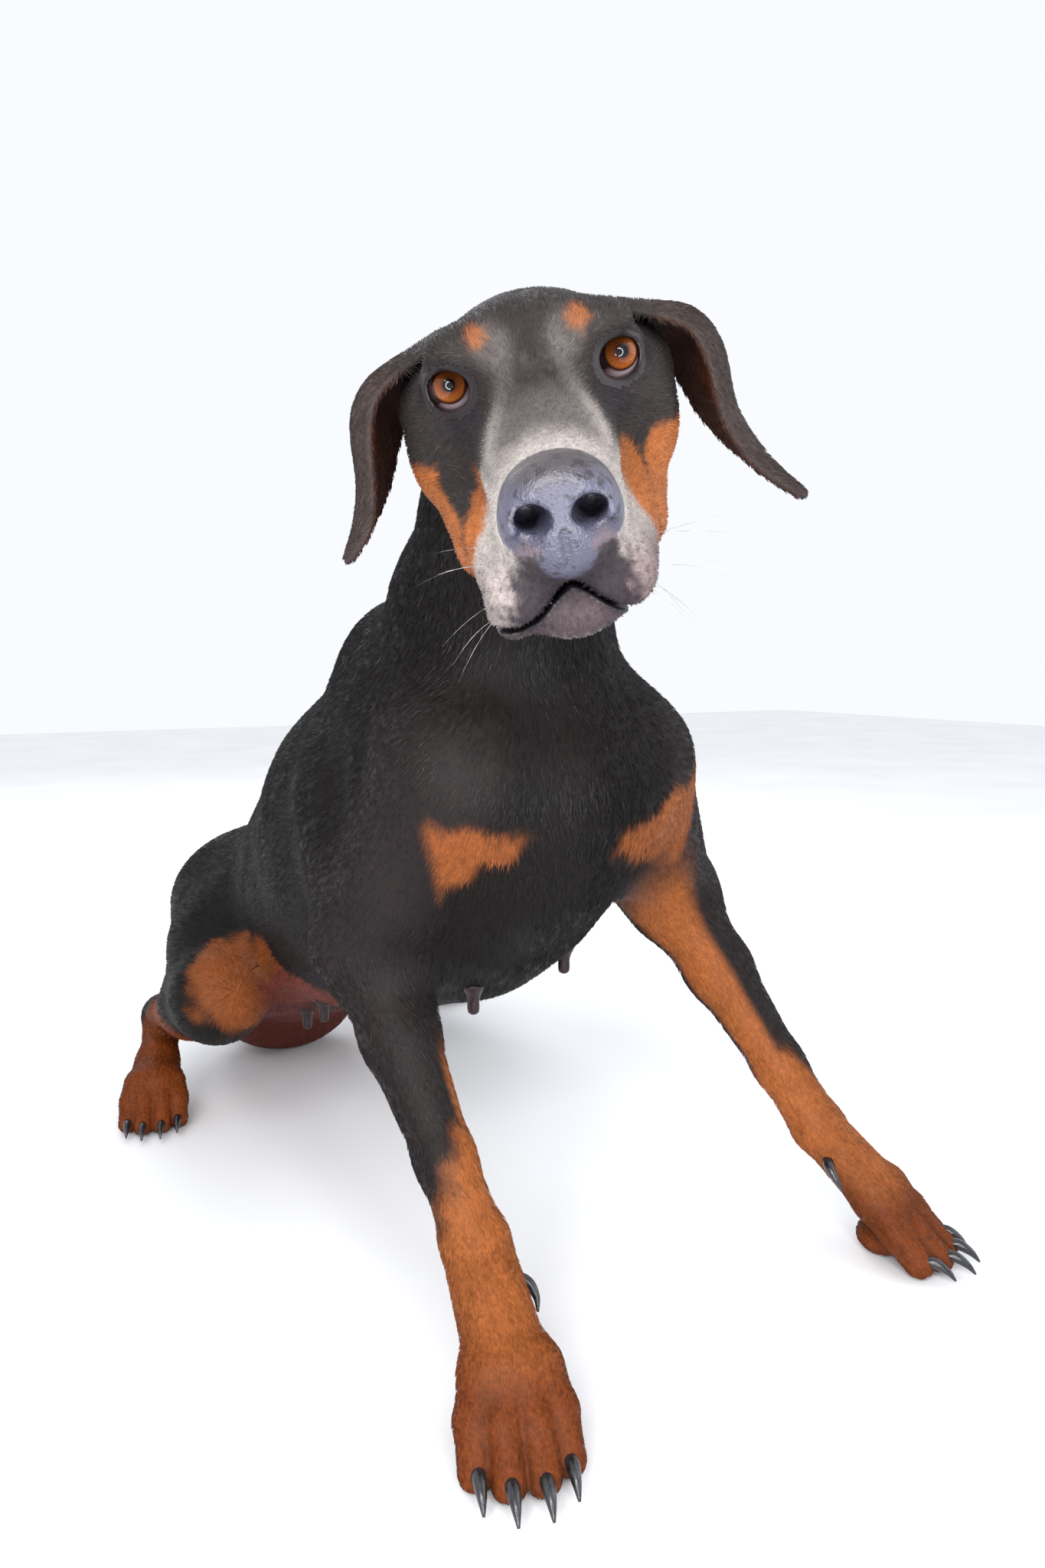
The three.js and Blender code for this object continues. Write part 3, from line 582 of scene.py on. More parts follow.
# The step over which a slope is measured, and the longest move of a point in one round.
SLOPE_STEP = 0.7
LONGEST_MOVE = 1.5
FINE = 1.7
MEDIUM = 2.4
COARSE = 4.0
BLOCK = 8

X_ZONES = [(-240, MEDIUM), (-215, FINE), (45, COARSE), (110, MEDIUM), (312, 0)]
Y_ZONES = [(-436, FINE), (-175, COARSE), (220, MEDIUM), (345, COARSE), (450, MEDIUM), (590, COARSE), (776, 0)]
Z_ZONES = [(-6, MEDIUM), (62, COARSE), (438, FINE), (652, 0)]


def ticks(zones):
    """Grid lines whose spacing changes from zone to zone."""
    lines = []
    for (start, step), (end, _) in zip(zones, zones[1:]):
        lines.append(np.linspace(start, end, max(1, round((end - start) / step)), endpoint=False))
    return np.concatenate(lines + [[zones[-1][0]]])


def grid_values(field, axes):
    """The field on the grid, worked out only in blocks that the surface can cross."""
    count = [len(axis) for axis in axes]
    edges = [np.append(axis[::BLOCK], axis[-1] + 1e-3) for axis in axes]
    middles = [(edge[1:] + edge[:-1]) / 2 for edge in edges]
    halves = [(edge[1:] - edge[:-1]) / 2 for edge in edges]
    centre = np.stack(np.meshgrid(*middles, indexing="ij"), -1)
    shape = centre.shape[:3]
    reach = np.linalg.norm(np.stack(np.meshgrid(*halves, indexing="ij"), -1), axis=-1) * 1.2
    d = field(centre.reshape(-1, 3)).reshape(shape)
    values = np.where(d < 0, -FAR, FAR).astype(np.float32)
    near = np.abs(d) < reach + 2
    for i in range(3):
        values = np.repeat(values, BLOCK, i)
        near = np.repeat(near, BLOCK, i)
    values = values[:count[0], :count[1], :count[2]].copy()
    spots = np.argwhere(near[:count[0], :count[1], :count[2]])
    places = np.stack([axes[i][spots[:, i]] for i in range(3)], 1)
    values[tuple(spots.T)] = field(places)
    for i in range(3):
        for end in (0, -1):
            side = [slice(None)] * 3
            side[i] = end
            values[tuple(side)] = FAR
    return values


def surface(field, axes):
    """A closed surface of field = 0 as points and four-sided faces."""
    values = grid_values(field, axes)
    inside = values < 0
    cells = [n - 1 for n in values.shape]
    corners = [(i, j, k) for i in (0, 1) for j in (0, 1) for k in (0, 1)]
    filled = np.zeros(cells, np.int8)
    for i, j, k in corners:
        filled += inside[i:cells[0] + i, j:cells[1] + j, k:cells[2] + k]
    active = (filled > 0) & (filled < 8)
    spots = np.argwhere(active)
    number = np.full(cells, -1, np.int64)
    number[active] = np.arange(len(spots))
    corner_value = {c: values[tuple((spots + c).T)] for c in corners}
    total = np.zeros((len(spots), 3))
    hits = np.zeros(len(spots))
    for corner in corners:
        for axis in range(3):
            if corner[axis]:
                continue
            other = tuple(1 if i == axis else corner[i] for i in range(3))
            a, b = corner_value[corner], corner_value[other]
            crossed = (a < 0) != (b < 0)
            place = np.tile(np.array(corner, float), (len(spots), 1))
            place[:, axis] = np.where(crossed, a / np.where(crossed, a - b, 1), 0)
            total[crossed] += place[crossed]
            hits[crossed] += 1
    share = total / hits[:, None]
    points = np.empty_like(share)
    for i in range(3):
        low = axes[i][spots[:, i]]
        high = axes[i][spots[:, i] + 1]
        points[:, i] = low + share[:, i] * (high - low)
    faces = []
    for axis in range(3):
        u, v = (axis + 1) % 3, (axis + 2) % 3
        first = tuple(slice(0, cells[i]) if i == axis else slice(1, cells[i]) for i in range(3))
        second = tuple(slice(1, None) if i == axis else slice(1, cells[i]) for i in range(3))
        a, b = inside[first], inside[second]
        crossing = np.argwhere(a != b)
        outward = a[tuple(crossing.T)]
        crossing[:, u] += 1
        crossing[:, v] += 1
        ring = []
        for du, dv in ((-1, -1), (0, -1), (0, 0), (-1, 0)):
            cell = crossing.copy()
            cell[:, u] += du
            cell[:, v] += dv
            ring.append(number[tuple(cell.T)])
        ring = np.stack(ring, 1)
        ring[~outward] = ring[~outward][:, ::-1]
        faces.append(ring)
    return points, np.concatenate(faces)


def settled(field, points, rounds=2):
    """The points moved onto field = 0."""
    for _ in range(rounds):
        move = np.clip(field(points), -LONGEST_MOVE, LONGEST_MOVE)
        points = points - slope(field, points) * move[:, None]
    return points


# Meshes

def new_object(name, points, faces, materials, smooth=True):
    """A mesh piece from points in millimetres of the animal's own frame."""
    mesh = bpy.data.meshes.new(name)
    placed = (np.asarray(points, float) - FOOT) * MM
    faces = np.asarray(faces, np.int32)
    size = faces.shape[1]
    mesh.vertices.add(len(placed))
    mesh.vertices.foreach_set("co", placed.astype(np.float32).ravel())
    mesh.loops.add(faces.size)
    mesh.loops.foreach_set("vertex_index", faces.ravel())
    mesh.polygons.add(len(faces))
    mesh.polygons.foreach_set("loop_start", np.arange(0, faces.size, size, dtype=np.int32))
    mesh.polygons.foreach_set("use_smooth", np.full(len(faces), smooth))
    mesh.update(calc_edges=True)
    for material in materials:
        mesh.materials.append(material)
    piece = bpy.data.objects.new(name, mesh)
    bpy.context.scene.collection.objects.link(piece)
    return piece


def settle(piece, slot, *nodes):
    """The piece rides on the one body and stands for the nodes named. Its slot is not used."""
    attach(piece, "root")
    if nodes:
        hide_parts(*nodes)


def paint_points(piece, colours, name="coat_rgb"):
    layer = piece.data.attributes.new(name, "FLOAT_COLOR", "POINT")
    full = np.concatenate([colours, np.ones((len(colours), 1))], 1)
    layer.data.foreach_set("color", full.astype(np.float32).ravel())


# Markings

BODY_BLACK = linear(22, 19, 18)
CHARCOAL = linear(38, 33, 33)
FACE_SLATE = linear(49, 44, 43)
EAR_SLATE = linear(58, 50, 48)
RUST = linear(156, 92, 50)
DEEP_RUST = linear(114, 58, 27)
MUZZLE_GREY = linear(166, 158, 154)
NOSE_SLATE = linear(70, 69, 86)
NOSE_TOP = linear(58, 52, 55)
NOSTRIL_SHADE = linear(26, 12, 18)
LIP_PLUM = linear(38, 32, 39)
LIP_PINK = linear(124, 96, 94)
FLEW_GREY = linear(104, 90, 90)
LID_DARK = linear(26, 19, 22)
SOCKET_SHADE = linear(38, 33, 39)
EAR_INSIDE = linear(60, 40, 34)
GROIN_RED = linear(112, 54, 44)
PAD_GREY = linear(52, 50, 52)

BROW_DOT = point(0, 19.5, 23)
VENT = point(-24, 492, 66)
# How far out from the skin a point is tested, to find creases and ridges. Creases are darkened with painted
# shade.
CREASE_REACH = 7
# Each patch on the chest: its two ends across, then its upper and its lower edge at those ends.
CHEST_PATCHES = [
    ((-110, -50), (353, 350), (290, 346)),
    ((-2, 98), (335, 388), (331, 308)),
]
# Patches of the right thigh that face the viewer: centre, radii and colour.
THIGH_PATCHES = [
    (point(-138, 165, 166), (44, 48, 46), mix(RUST, DEEP_RUST, 0.7)),
    (point(-90, 150, 150), (34, 60, 36), GROIN_RED),
]


def tint(colours, mask, colour):
    return mix(colours, colour, np.clip(mask, 0, 1)[:, None])


def layered(colours, whole, *layers):
    """The colours under (mask, colour) layers laid one by one, as strongly as `whole` allows."""
    for mask, colour in layers:
        colours = tint(colours, whole * mask, colour)
    return colours


def near_point(p, centre, start, end):
    return ramp(np.linalg.norm(p - centre, axis=1), start, end)


TAN_START = {-1: 0.34, 1: -0.15}
LEG_TAN = mix(RUST, DEEP_RUST, 0.3)
PAW_TAN = DEEP_RUST * 0.85


def limb_view(p, distance, joints, start, end, side):
    """How surely each point is on a limb, how far along it, and how far on its inner side."""
    a, b = joints[start], joints[end]
    ab = b - a
    t = (p - a) @ ab / (ab @ ab)
    aside = rows_unit(p - a - t[:, None] * ab)
    return ramp(distance, 14, 3), t, aside @ (joints["across"] * side)


def leg_markings(p, colours, parts, total):
    for side, tag in TAGS.items():
        mine, t, inner = limb_view(p, parts["fore_" + tag] - total, FORE[side], "elbow", "wrist", side)
        edge = t + 0.14 * inner + 0.05 * ripple(p, 34, 11)
        stripe = ramp(inner, 0.62, 0.88) * ramp(t, TAN_START[side], TAN_START[side] + 0.2)
        tan = np.maximum(ramp(edge, 0.7, 0.84), stripe)
        charcoal, paw_tan = ramp(p[:, 2], 470, 380), ramp(p[:, 2], 74, 40)
        colours = layered(colours, mine, (charcoal, CHARCOAL), (tan, LEG_TAN), (paw_tan, PAW_TAN))
        joints = HIND[side]
        mine, t, inner = limb_view(p, parts["hind_" + tag] - total, joints, "knee", "hock", side)
        edge = 0.55 * t + 0.5 * inner + 0.1 * ripple(p, 34, 12)
        near_knee = near_point(p, joints["knee"], 230, 120)
        tan = ramp(p[:, 2], 150, 60) * near_knee * ramp(edge, 0.42, 0.62)
        foot = near_point(p, joints["knuckle"], 98, 74)
        colours = layered(colours, mine, (np.maximum(tan, foot), DEEP_RUST))
    return colours


def chest_markings(p, colours):
    x, y, z = p.T
    ruffle = 5 * ripple(p, 26, 13)
    for ends, upper, lower in CHEST_PATCHES:
        top = np.interp(x, ends, upper)
        bottom = np.interp(x, ends, lower)
        start = ends[0] + 0.4 * (350 - z)
        mask = ramp(x - start, -5, 5) * ramp(x, ends[1] + 6, ends[1] - 6) * ramp(y, -110, -140)
        mask = mask * ramp(top - z + ruffle, -6, 8) * ramp(z - bottom + ruffle, -7, 7)
        colours = tint(colours, mask * 0.92, mix(RUST, DEEP_RUST, 0.5))
    for centre, radii, colour in THIGH_PATCHES:
        away = np.linalg.norm((p - centre) / np.array(radii, float), axis=1)
        colours = tint(colours, ramp(away + 0.03 * ruffle, 1.15, 0.8) * 0.9, colour)
    return colours


def face_markings(p, colours, on_face):
    q = in_head(p)
    f, u, a = q[:, 0], q[:, 1], np.abs(q[:, 2])
    ruffle = ripple(p, 9, 14)
    cheek = ramp(u + 2 * ruffle, -30, -37) * ramp(f, -62, -40)
    # A dark wedge parts the rust of the cheek from that of the lip, and is shorter on the left.
    wedge_half = np.clip((u + 57 - 12 * (q[:, 2] > 0)) * 0.6, 0, 9.5)
    wedge = ramp(np.abs(a - 43) - wedge_half + ruffle, 2, -2)
    snout = ramp(f + 0.25 * u - 1.5 * np.maximum(a - 27, 0) + 3 * ruffle, 34, 50)
    on_top = ramp(u - 0.35 * np.maximum(a - 20, 0), -40, -28)
    ridge = np.exp(-((a - np.clip(13 + (f - 31) / 3, 11, 26)) / 5.5) ** 2) * ramp(f, 14, 50)
    along = f + 2 * ruffle
    # Darker around the eye sockets: painted shade.
    socket = ramp(np.hypot((f - 14) / 28, np.hypot((u + 8) / 19, (a - 34) / 15)), 1.25, 0.4)
    # Lighter above the inner brows: painted sheen.
    brow_sheen = ramp(np.hypot((a - 17) / 10, (u - 15) / 12), 1.2, 0.4) * ramp(f, -30, -10)
    dot = ramp(np.hypot(u - BROW_DOT[1], a - BROW_DOT[2]) + 1.5 * ruffle, 8, 2) * ramp(f, -30, -12)
    return layered(
        colours, on_face,
        (1, FACE_SLATE),
        (cheek * (1 - wedge) * 0.95, RUST),
        (snout, MUZZLE_GREY),
        (on_top * ramp(along, 100, 76) * ramp(f, 22, 40), FACE_SLATE),
        (on_top * ramp(along, 36, 70) * ramp(a, 32, 24), mix(FACE_SLATE, MUZZLE_GREY, 0.2)),
        (on_top * ridge * (0.2 + 0.5 * ramp(f, 35, 75)), MUZZLE_GREY),
        (on_top * ramp(along, 78, 104) * ramp(a, 36, 28) * 0.75, MUZZLE_GREY),
        (socket * 0.75, SOCKET_SHADE),
        (brow_sheen * 0.16, MUZZLE_GREY),
        (dot * 0.65, RUST),
    )


def bare_markings(p, colours, on_face):
    """Lips, nose and lid rims, with painted shade in the nostrils and around the eyes, and a mask of each
    kind of bare skin.
    """
    q = in_head(p)
    f, u, a = q[:, 0], q[:, 1], np.abs(q[:, 2])
    ruffle = ripple(p, 7, 15)
    below = u - mouth_height(q)
    flew = ramp(f, 60, 90) * ramp(u, -56, -72)
    chin = ramp(f, 66, 86) * ramp(below, -1, -4)
    beard = chin * ramp(u + 3 * ruffle, -95, -101)
    front = a + 0.25 * (u + 60) + 2.5 * ruffle
    plum = ramp(f, 96, 108) * ramp(u, -50, -57) * ramp(below, -6, -2) * ramp(front, 26, 17)
    freckle = ramp(ripple(p, 4.5, 18), 0.55, 0.9) * flew * ramp(f, 60, 90)
    lip = ramp(f, 36, 44) * ramp(np.abs(below + 1), 3, 1.4)
    pad = ramp(nose_pad(q), 1.6, 0.6) * ramp(f, 100, 104)
    wet = ramp(np.abs(a - 15) + np.abs(u + 57), 8, 4) * pad
    # The nostrils and the groove under the nose are darkened: painted shade in the hollows.
    dark = ramp(np.minimum(nostrils(q), philtrum(q)), 0.9, 0.2)
    colours = layered(
        colours, on_face,
        (flew * (0.5 + 0.45 * ramp(q[:, 2], 8, 26)), FLEW_GREY),
        (chin * 0.9, mix(LIP_PINK, LIP_PLUM, 0.9)),
        (beard * 0.45, MUZZLE_GREY),
        (plum * 0.93, LIP_PLUM),
        (freckle * 0.6, LIP_PLUM),
        (lip, LIP_PLUM * 0.6),
        (pad, NOSE_SLATE),
        (pad * ramp(u, -38, -24), NOSE_TOP),
        (wet * 0.35, LIP_PINK),
        (dark, NOSTRIL_SHADE),
    )
    rim = np.zeros(len(p))
    for side in SIDES:
        span = lid_span(q, side)
        here = (q[:, 2] * side > 0) & (f > -14) & (span < 2.4)
        rim = np.maximum(rim, np.where(here, ramp(span, 1.66, 1.42), 0))
        # Darker in a ring around each eye, wider than the dark lid rim: painted shade.
        shade = np.where(here, ramp(span, 2.1, 1.3), 0)
        colours = tint(colours, on_face * shade * 0.7, mix(FACE_SLATE, LID_DARK, 0.6))
    colours = tint(colours, on_face * rim, LID_DARK)
    return colours, on_face * pad, on_face * np.maximum(lip, rim)


def ear_mask(p):
    q = in_head(p)
    flap = np.zeros(len(p))
    near = np.linalg.norm(p - HEAD_MIDDLE, axis=1) < HEAD_REACH
    for side in SIDES:
        d = np.full(len(p), FAR)
        d[near] = ear(q[near], side)
        flap = np.maximum(flap, ramp(d, 5, 1.5) * ramp(q[:, 2] * side, 58, 68))
    return flap


def ear_markings(p, normal, colours, flap):
    q = in_head(p)
    hollow = ramp(np.hypot((q[:, 0] + 46) / 20, (q[:, 1] + 18) / 22), 1.2, 0.6)
    colours = tint(colours, flap, EAR_SLATE)
    for side in SIDES:
        mine = flap * (q[:, 2] * side > 0) * ramp((normal @ LEFT) * -side, 0.1, 0.5)
        colours = layered(colours, mine, (0.8, EAR_INSIDE), (hollow * 0.7, DEEP_RUST))
    return colours


def markings(p, normal):
    """The colour of the coat or bare skin at each point, with painted shade and painted highlight in places,
    and masks of what is bare.
    """
    parts = {}
    for start in range(0, len(p), CHUNK):
        for name, d in body_parts(p[start:start + CHUNK]).items():
            parts.setdefault(name, []).append(d)
    parts = {name: np.concatenate(d) for name, d in parts.items()}
    total = flesh_of(parts)
    x, y, z = p.T
    rise = normal[:, 2]
    on_face = ramp(parts["head"] - total, 10, 1.5)
    colours = np.tile(BODY_BLACK, (len(p), 1))
    # Charcoal on the front half, strongest where the surface faces up: partly a lighter tone of the coat,
    # partly painted highlight on the tops.
    colours = tint(colours, ramp(y, 60, -120) * ramp(rise, -0.2, 0.8) * 0.5, CHARCOAL)
    colours = leg_markings(p, colours, parts, total)
    colours = chest_markings(p, colours)
    groin = ramp(y, 150, 230) * ramp(-rise, 0.1, 0.6) * ramp(z, 190, 140) * ramp(np.abs(x + 20), 130, 90)
    vent = near_point(p, VENT, 52, 34) * ramp(parts["tail"], 2, 10)
    sole = ramp(z, 5, 1.5) * ramp(-rise, 0.3, 0.8) * (1 - on_face)
    colours = layered(colours, 1, (groin * 0.7, GROIN_RED), (vent * 0.8, RUST), (sole, PAD_GREY))
    flap = ear_mask(p)
    colours = face_markings(p, colours, on_face * (1 - 0.999 * flap))
    colours = ear_markings(p, normal, colours, flap)
    colours, pad, bare = bare_markings(p, colours, on_face)
    # Darker in creases: painted shade.
    depth = np.clip(1 - flesh(p + normal * CREASE_REACH) / CREASE_REACH, -1, 1)
    colours = colours * (1 - 0.55 * np.clip(depth - 0.1, 0, 0.7))[:, None]
    colours = colours * (1 + 0.1 * ripple(p, 60, 16) + 0.06 * ripple(p, 15, 17))[:, None]
    return dict(colours=colours, pad=pad, bare=np.maximum(bare, sole), parts=parts, total=total, flap=flap,
                on_face=on_face, depth=depth)


# Materials

SHEEN_ROUGHNESS = 0.35
SHEEN_BLUE = (0.72, 0.8, 1.0, 1.0)


class Finish:
    """A node material with its shader's own sockets set, and the nodes that it is built from."""

    def __init__(self, name, roughness, sheen=0.0, coat=0.0, specular=0.5, coat_roughness=0.2):
        self.material = bpy.data.materials.new(name)
        self.material.use_nodes = True
        self.nodes = self.material.node_tree.nodes
        self.link = self.material.node_tree.links.new
        self.shader = self.nodes["Principled BSDF"]
        for socket, value in (
            ("Roughness", roughness),
            ("Sheen Weight", sheen),
            ("Sheen Roughness", SHEEN_ROUGHNESS),
            ("Sheen Tint", SHEEN_BLUE),
            ("Coat Weight", coat),
            ("Coat Roughness", coat_roughness),
            ("Specular IOR Level", specular),
        ):
            self.shader.inputs[socket].default_value = value

    def node(self, kind, inputs, **settings):
        """A new node. An input is a number, or the output that it is linked to."""
        made = self.nodes.new("ShaderNode" + kind)
        for name, value in settings.items():
            setattr(made, name, value)
        for name, value in inputs.items():
            if isinstance(value, bpy.types.NodeSocket):
                self.link(value, made.inputs[name])
            else:
                made.inputs[name].default_value = value
        return made.outputs

    def place(self):
        return self.node("TexCoord", {})["Object"]

    def noise(self, scale, detail=2.0, roughness=0.5):
        inputs = {"Vector": self.place(), "Scale": scale, "Detail": detail, "Roughness": roughness}
        return self.node("TexNoise", inputs)["Fac"]

    def band(self, source, *stops):
        """Colours, or shades of grey, that change with a value."""
        made = self.nodes.new("ShaderNodeValToRGB")
        elements = made.color_ramp.elements
        while len(elements) < len(stops):
            elements.new(0.5)
        for element, (place, colour) in zip(elements, stops):
            element.position = place
            element.color = (*colour, 1) if isinstance(colour, tuple) else (colour, colour, colour, 1)
        self.link(source, made.inputs["Fac"])
        return made.outputs["Color"]

    def mixed(self, a, b, factor=1.0, blend="MULTIPLY"):
        inputs = {"Factor": factor, "A": a, "B": b}
        return self.node("Mix", inputs, data_type="RGBA", blend_type=blend)["Result"]

    def bump(self, source, strength, distance):
        inputs = {"Strength": strength, "Distance": distance, "Height": source}
        self.link(self.node("Bump", inputs)["Normal"], self.shader.inputs["Normal"])

    def colour(self, source):
        self.link(source, self.shader.inputs["Base Color"])

    def marked(self, shades):
        """The markings as the colour, broken up by shades."""
        markings_colour = self.node("Attribute", {}, attribute_name="coat_rgb")["Color"]
        self.colour(self.mixed(markings_colour, shades))


def painted(name, roughness, spots, bumps, **settings):
    made = Finish(name, roughness, **settings)
    scale, low, high = spots
    made.marked(made.band(made.noise(scale, 4.0, 0.6), (0.3, low), (0.7, high)))
    scale, strength, distance = bumps
    made.bump(made.noise(scale, 5.0, 0.65), strength, distance)
    return made.material


def nose_material():
    made = Finish("nose_leather", 0.4, coat=0.2)
    made.marked(made.band(made.noise(260.0), (0.36, 0.35), (0.46, 1.0)))
    pebbles = made.node("TexVoronoi", {"Vector": made.place(), "Scale": 900.0})
    made.bump(pebbles["Distance"], 0.55, 0.0006)
    return made.material


def claw_material():
    made = Finish("claw_horn", 0.24, coat=0.3)
    streaks = made.noise(240.0, 3.0)
    made.colour(made.band(streaks, (0.35, (0.006, 0.006, 0.008)), (0.75, (0.03, 0.03, 0.036))))
    made.bump(streaks, 0.2, 0.0004)
    return made.material


def whisker_material():
    made = Finish("whisker_hair", 0.4)
    made.colour(made.band(made.noise(90.0), (0.4, (0.12, 0.1, 0.1)), (0.6, (0.5, 0.47, 0.45))))
    return made.material


SKIN = painted("short_coat_skin", 0.5, (420.0, 0.72, 1.2), (700.0, 0.5, 0.0007), sheen=0.012, specular=0.12)
COAT = painted("short_coat_hair", 0.48, (150.0, 0.8, 1.2), (900.0, 0.2, 0.0003), sheen=0.012, specular=0.2)
BARE = painted("bare_skin", 0.34, (300.0, 0.8, 1.15), (800.0, 0.45, 0.0006), coat=0.1, specular=0.3)
NOSE = nose_material()
CLAW = claw_material()
WHISKER = whisker_material()


# Skin

FLESH_NODES = ["head", "nose", "neck", "torso", "tail"]
for tag in "rl":
    FLESH_NODES += [name + tag for name in (
        "ear_", "upper_foreleg_", "forearm_", "fore_paw_", "thigh_", "shank_", "hind_paw_")]

axes = [ticks(zones) for zones in (X_ZONES, Y_ZONES, Z_ZONES)]
skin_points, skin_faces = surface(skin_field, axes)
skin_points = settled(skin_field, skin_points, 2)
skin_normals = slope(skin_field, skin_points)
marks = markings(skin_points, skin_normals)

skin = new_object("skin", skin_points, skin_faces, [SKIN, NOSE, BARE])
paint_points(skin, marks["colours"])
pad_face, bare_face = (marks[name][skin_faces].mean(1) > 0.5 for name in ("pad", "bare"))
material_index = np.where(pad_face, 1, np.where(bare_face, 2, 0))
skin.data.polygons.foreach_set("material_index", material_index.astype(np.int32))
settle(skin, "dark_coat", *FLESH_NODES)
print("skin", len(skin_points), "points", len(skin_faces), "faces")


# Coat

TUFTS = 250000
PIECE_LIMIT = 48000
# Half the width of the place that one tuft takes up in the bake, and the bare edge of each view.
PATCH = 0.0015
VIEW_EDGE = 0.02

# Where the trunk's coat is parted: its middle line, its two cuts across, and the start of the muzzle.
TRUNK_MIDDLE = -18
TRUNK_CUTS = (40, 230)
MUZZLE_START = 10

# How far a tuft swings aside, how deep its root sits, and the lowest its points may be.
SWING = 0.16
ROOT_DEPTH = 0.25
LOWEST_TIP = 0.4
LOWEST_POINT = 0.2
# The ridge of a tuft: how far along it is, how high at least, and its share of the tip's lift.
RIDGE_ALONG = 0.3
RIDGE_HEIGHT = 0.3
RIDGE_LIFT = 0.35
# How far a tuft's shading leans at random to the side, back along the hair, and out at its edges.
SHADE_TILT = 0.22
SHADE_BACK = 0.15
SHADE_FAN = 0.45
GREY_CHANCE = 0.012
GREY_SHARE = 0.07
BALD = 0.3


def lie(p, normal, marks):
    """The way that the coat lies at each point, along the surface."""
    parts, total = marks["parts"], marks["total"]
    flow = np.zeros((len(p), 3))

    def blend(mask, way):
        nonlocal flow
        flow = flow * (1 - mask)[:, None] + way * mask[:, None]

    def nearness(name):
        return ramp(parts[name] - total, 30, 4)

    blend(np.ones(len(p)), unit(point(0, 0.82, -0.5)))
    blend(nearness("neck") * ramp(p[:, 2], 380, 460), unit(point(0.1, 0.5, -0.86)))
    front = nearness("trunk") * ramp(p[:, 1], -90, -150)
    blend(front, unit(point(0, -0.1, -1)))
    blend(nearness("tail") * ramp(p[:, 1], 440, 480), unit(point(0.0, 0.97, -0.2)))
    for side, tag in TAGS.items():
        for kind, joints in (("fore_", FORE[side]), ("hind_", HIND[side])):
            spots = joint_points(joints)
            spots.append(joints["knuckle"] + joints["way"] * 60 + point(0, 0, -30))
            best = np.full(len(p), FAR)
            way = np.zeros((len(p), 3))
            for a, b in zip(spots[1:], spots[2:]):
                d = bone(p, a, b, 0, 0)
                closer = d < best
                best = np.where(closer, d, best)
                way[closer] = unit(b - a)
            blend(nearness(kind + tag), way)
    q = in_head(p)
    back = np.stack([-np.ones(len(p)), -0.25 * ramp(q[:, 1], 10, -30), np.zeros(len(p))], 1)
    blend(marks["on_face"], rows_unit(back) @ HEAD_AXES)
    for side in SIDES:
        tip = on_head(*(point(*EAR_TIP[side]) * (1, 1, side)))
        mine = marks["flap"] * (q[:, 2] * side > 0)
        blend(mine, rows_unit(tip - p + 1e-6))
    flow = flow + 0.12 * np.stack([ripple(p, 50, 21), ripple(p, 50, 22), ripple(p, 50, 23)], 1)
    flow = flow - normal * (flow * normal).sum(1, keepdims=True)
    return rows_unit(flow)


def hair_size(p, marks):
    """Length and width of a tuft in millimetres, smallest on the face and feet."""
    q = in_head(p)
    length = 7.0 - 2.2 * ramp(p[:, 2], 150, 90)
    for leg in ("fore_r", "fore_l"):
        on_leg = marks["parts"][leg] - marks["total"] < 8
        length = np.where(on_leg, np.minimum(length, 5.5), length)
    length = length - 1.4 * ramp(p[:, 2], 80, 40)
    face = mix(4.0, 2.2, ramp(q[:, 0], 10, 80))
    length = mix(length, face, marks["on_face"])
    length = mix(length, 3.6, marks["flap"])
    return length, 0.1 + 0.052 * length


def scatter(count):
    """Roots spread over the skin, denser where the hairs are small."""
    corners = skin_points[skin_faces]
    diagonals = corners[:, 2] - corners[:, 0], corners[:, 3] - corners[:, 1]
    area = 0.5 * np.linalg.norm(np.cross(*diagonals), axis=1)
    middle = corners.mean(1)
    mean = {key: marks[key][skin_faces].mean(1) for key in ("on_face", "flap", "pad", "bare", "depth")}
    fine = 1 + 1.5 * np.maximum(mean["on_face"], mean["flap"]) + 1.1 * ramp(middle[:, 2], 110, 60)
    bald = (mean["pad"] > BALD) | (mean["bare"] > BALD) | (middle[:, 2] < 2.5)
    q = in_head(middle)
    for side in SIDES:
        bald |= (lid_span(q, side) < 1.3) & (q[:, 0] > -16) & (q[:, 2] * side > 0)
    weight = np.where(bald, 0, area * fine)
    chosen = rng.choice(len(weight), count, p=weight / weight.sum())
    u, v = rng.random((2, count, 1))
    a, b, c, e = (corners[chosen, i] for i in range(4))
    return mix(mix(a, b, u), mix(e, c, u), v)


roots = scatter(TUFTS)
root_normals = slope(skin_field, roots)
roots = roots - root_normals * skin_field(roots)[:, None]
hair = markings(roots, root_normals)
flow = lie(roots, root_normals, hair)
side_way = np.cross(root_normals, flow)
swing = rng.normal(0, SWING, (TUFTS, 1))
flow = rows_unit(flow + side_way * swing)
side_way = np.cross(root_normals, flow)
length, width = hair_size(roots, hair)
length = length * rng.uniform(0.75, 1.25, TUFTS)
convex = np.clip(-hair["depth"], 0, 1)
lift = (0.5 + 0.1 * length) * (1 + 0.9 * convex) * rng.uniform(0.7, 1.3, TUFTS)

tips = roots + flow * length[:, None] + root_normals * lift[:, None]
tips = tips - root_normals * (skin_field(tips) - lift)[:, None]
tips[:, 2] = np.maximum(tips[:, 2], LOWEST_TIP)
sunk = roots - root_normals * ROOT_DEPTH
left_root = sunk - side_way * width[:, None]
right_root = sunk + side_way * width[:, None]
ridge = roots + flow * (length * RIDGE_ALONG)[:, None]
ridge = ridge - root_normals * (skin_field(ridge) - RIDGE_HEIGHT - RIDGE_LIFT * lift)[:, None]
tuft_points = np.stack([left_root, right_root, ridge, tips], 1)
tuft_points[:, :, 2] = np.maximum(tuft_points[:, :, 2], LOWEST_POINT)
TUFT_FACES = np.array([(0, 2, 1), (0, 3, 2), (2, 3, 1), (0, 1, 3)])

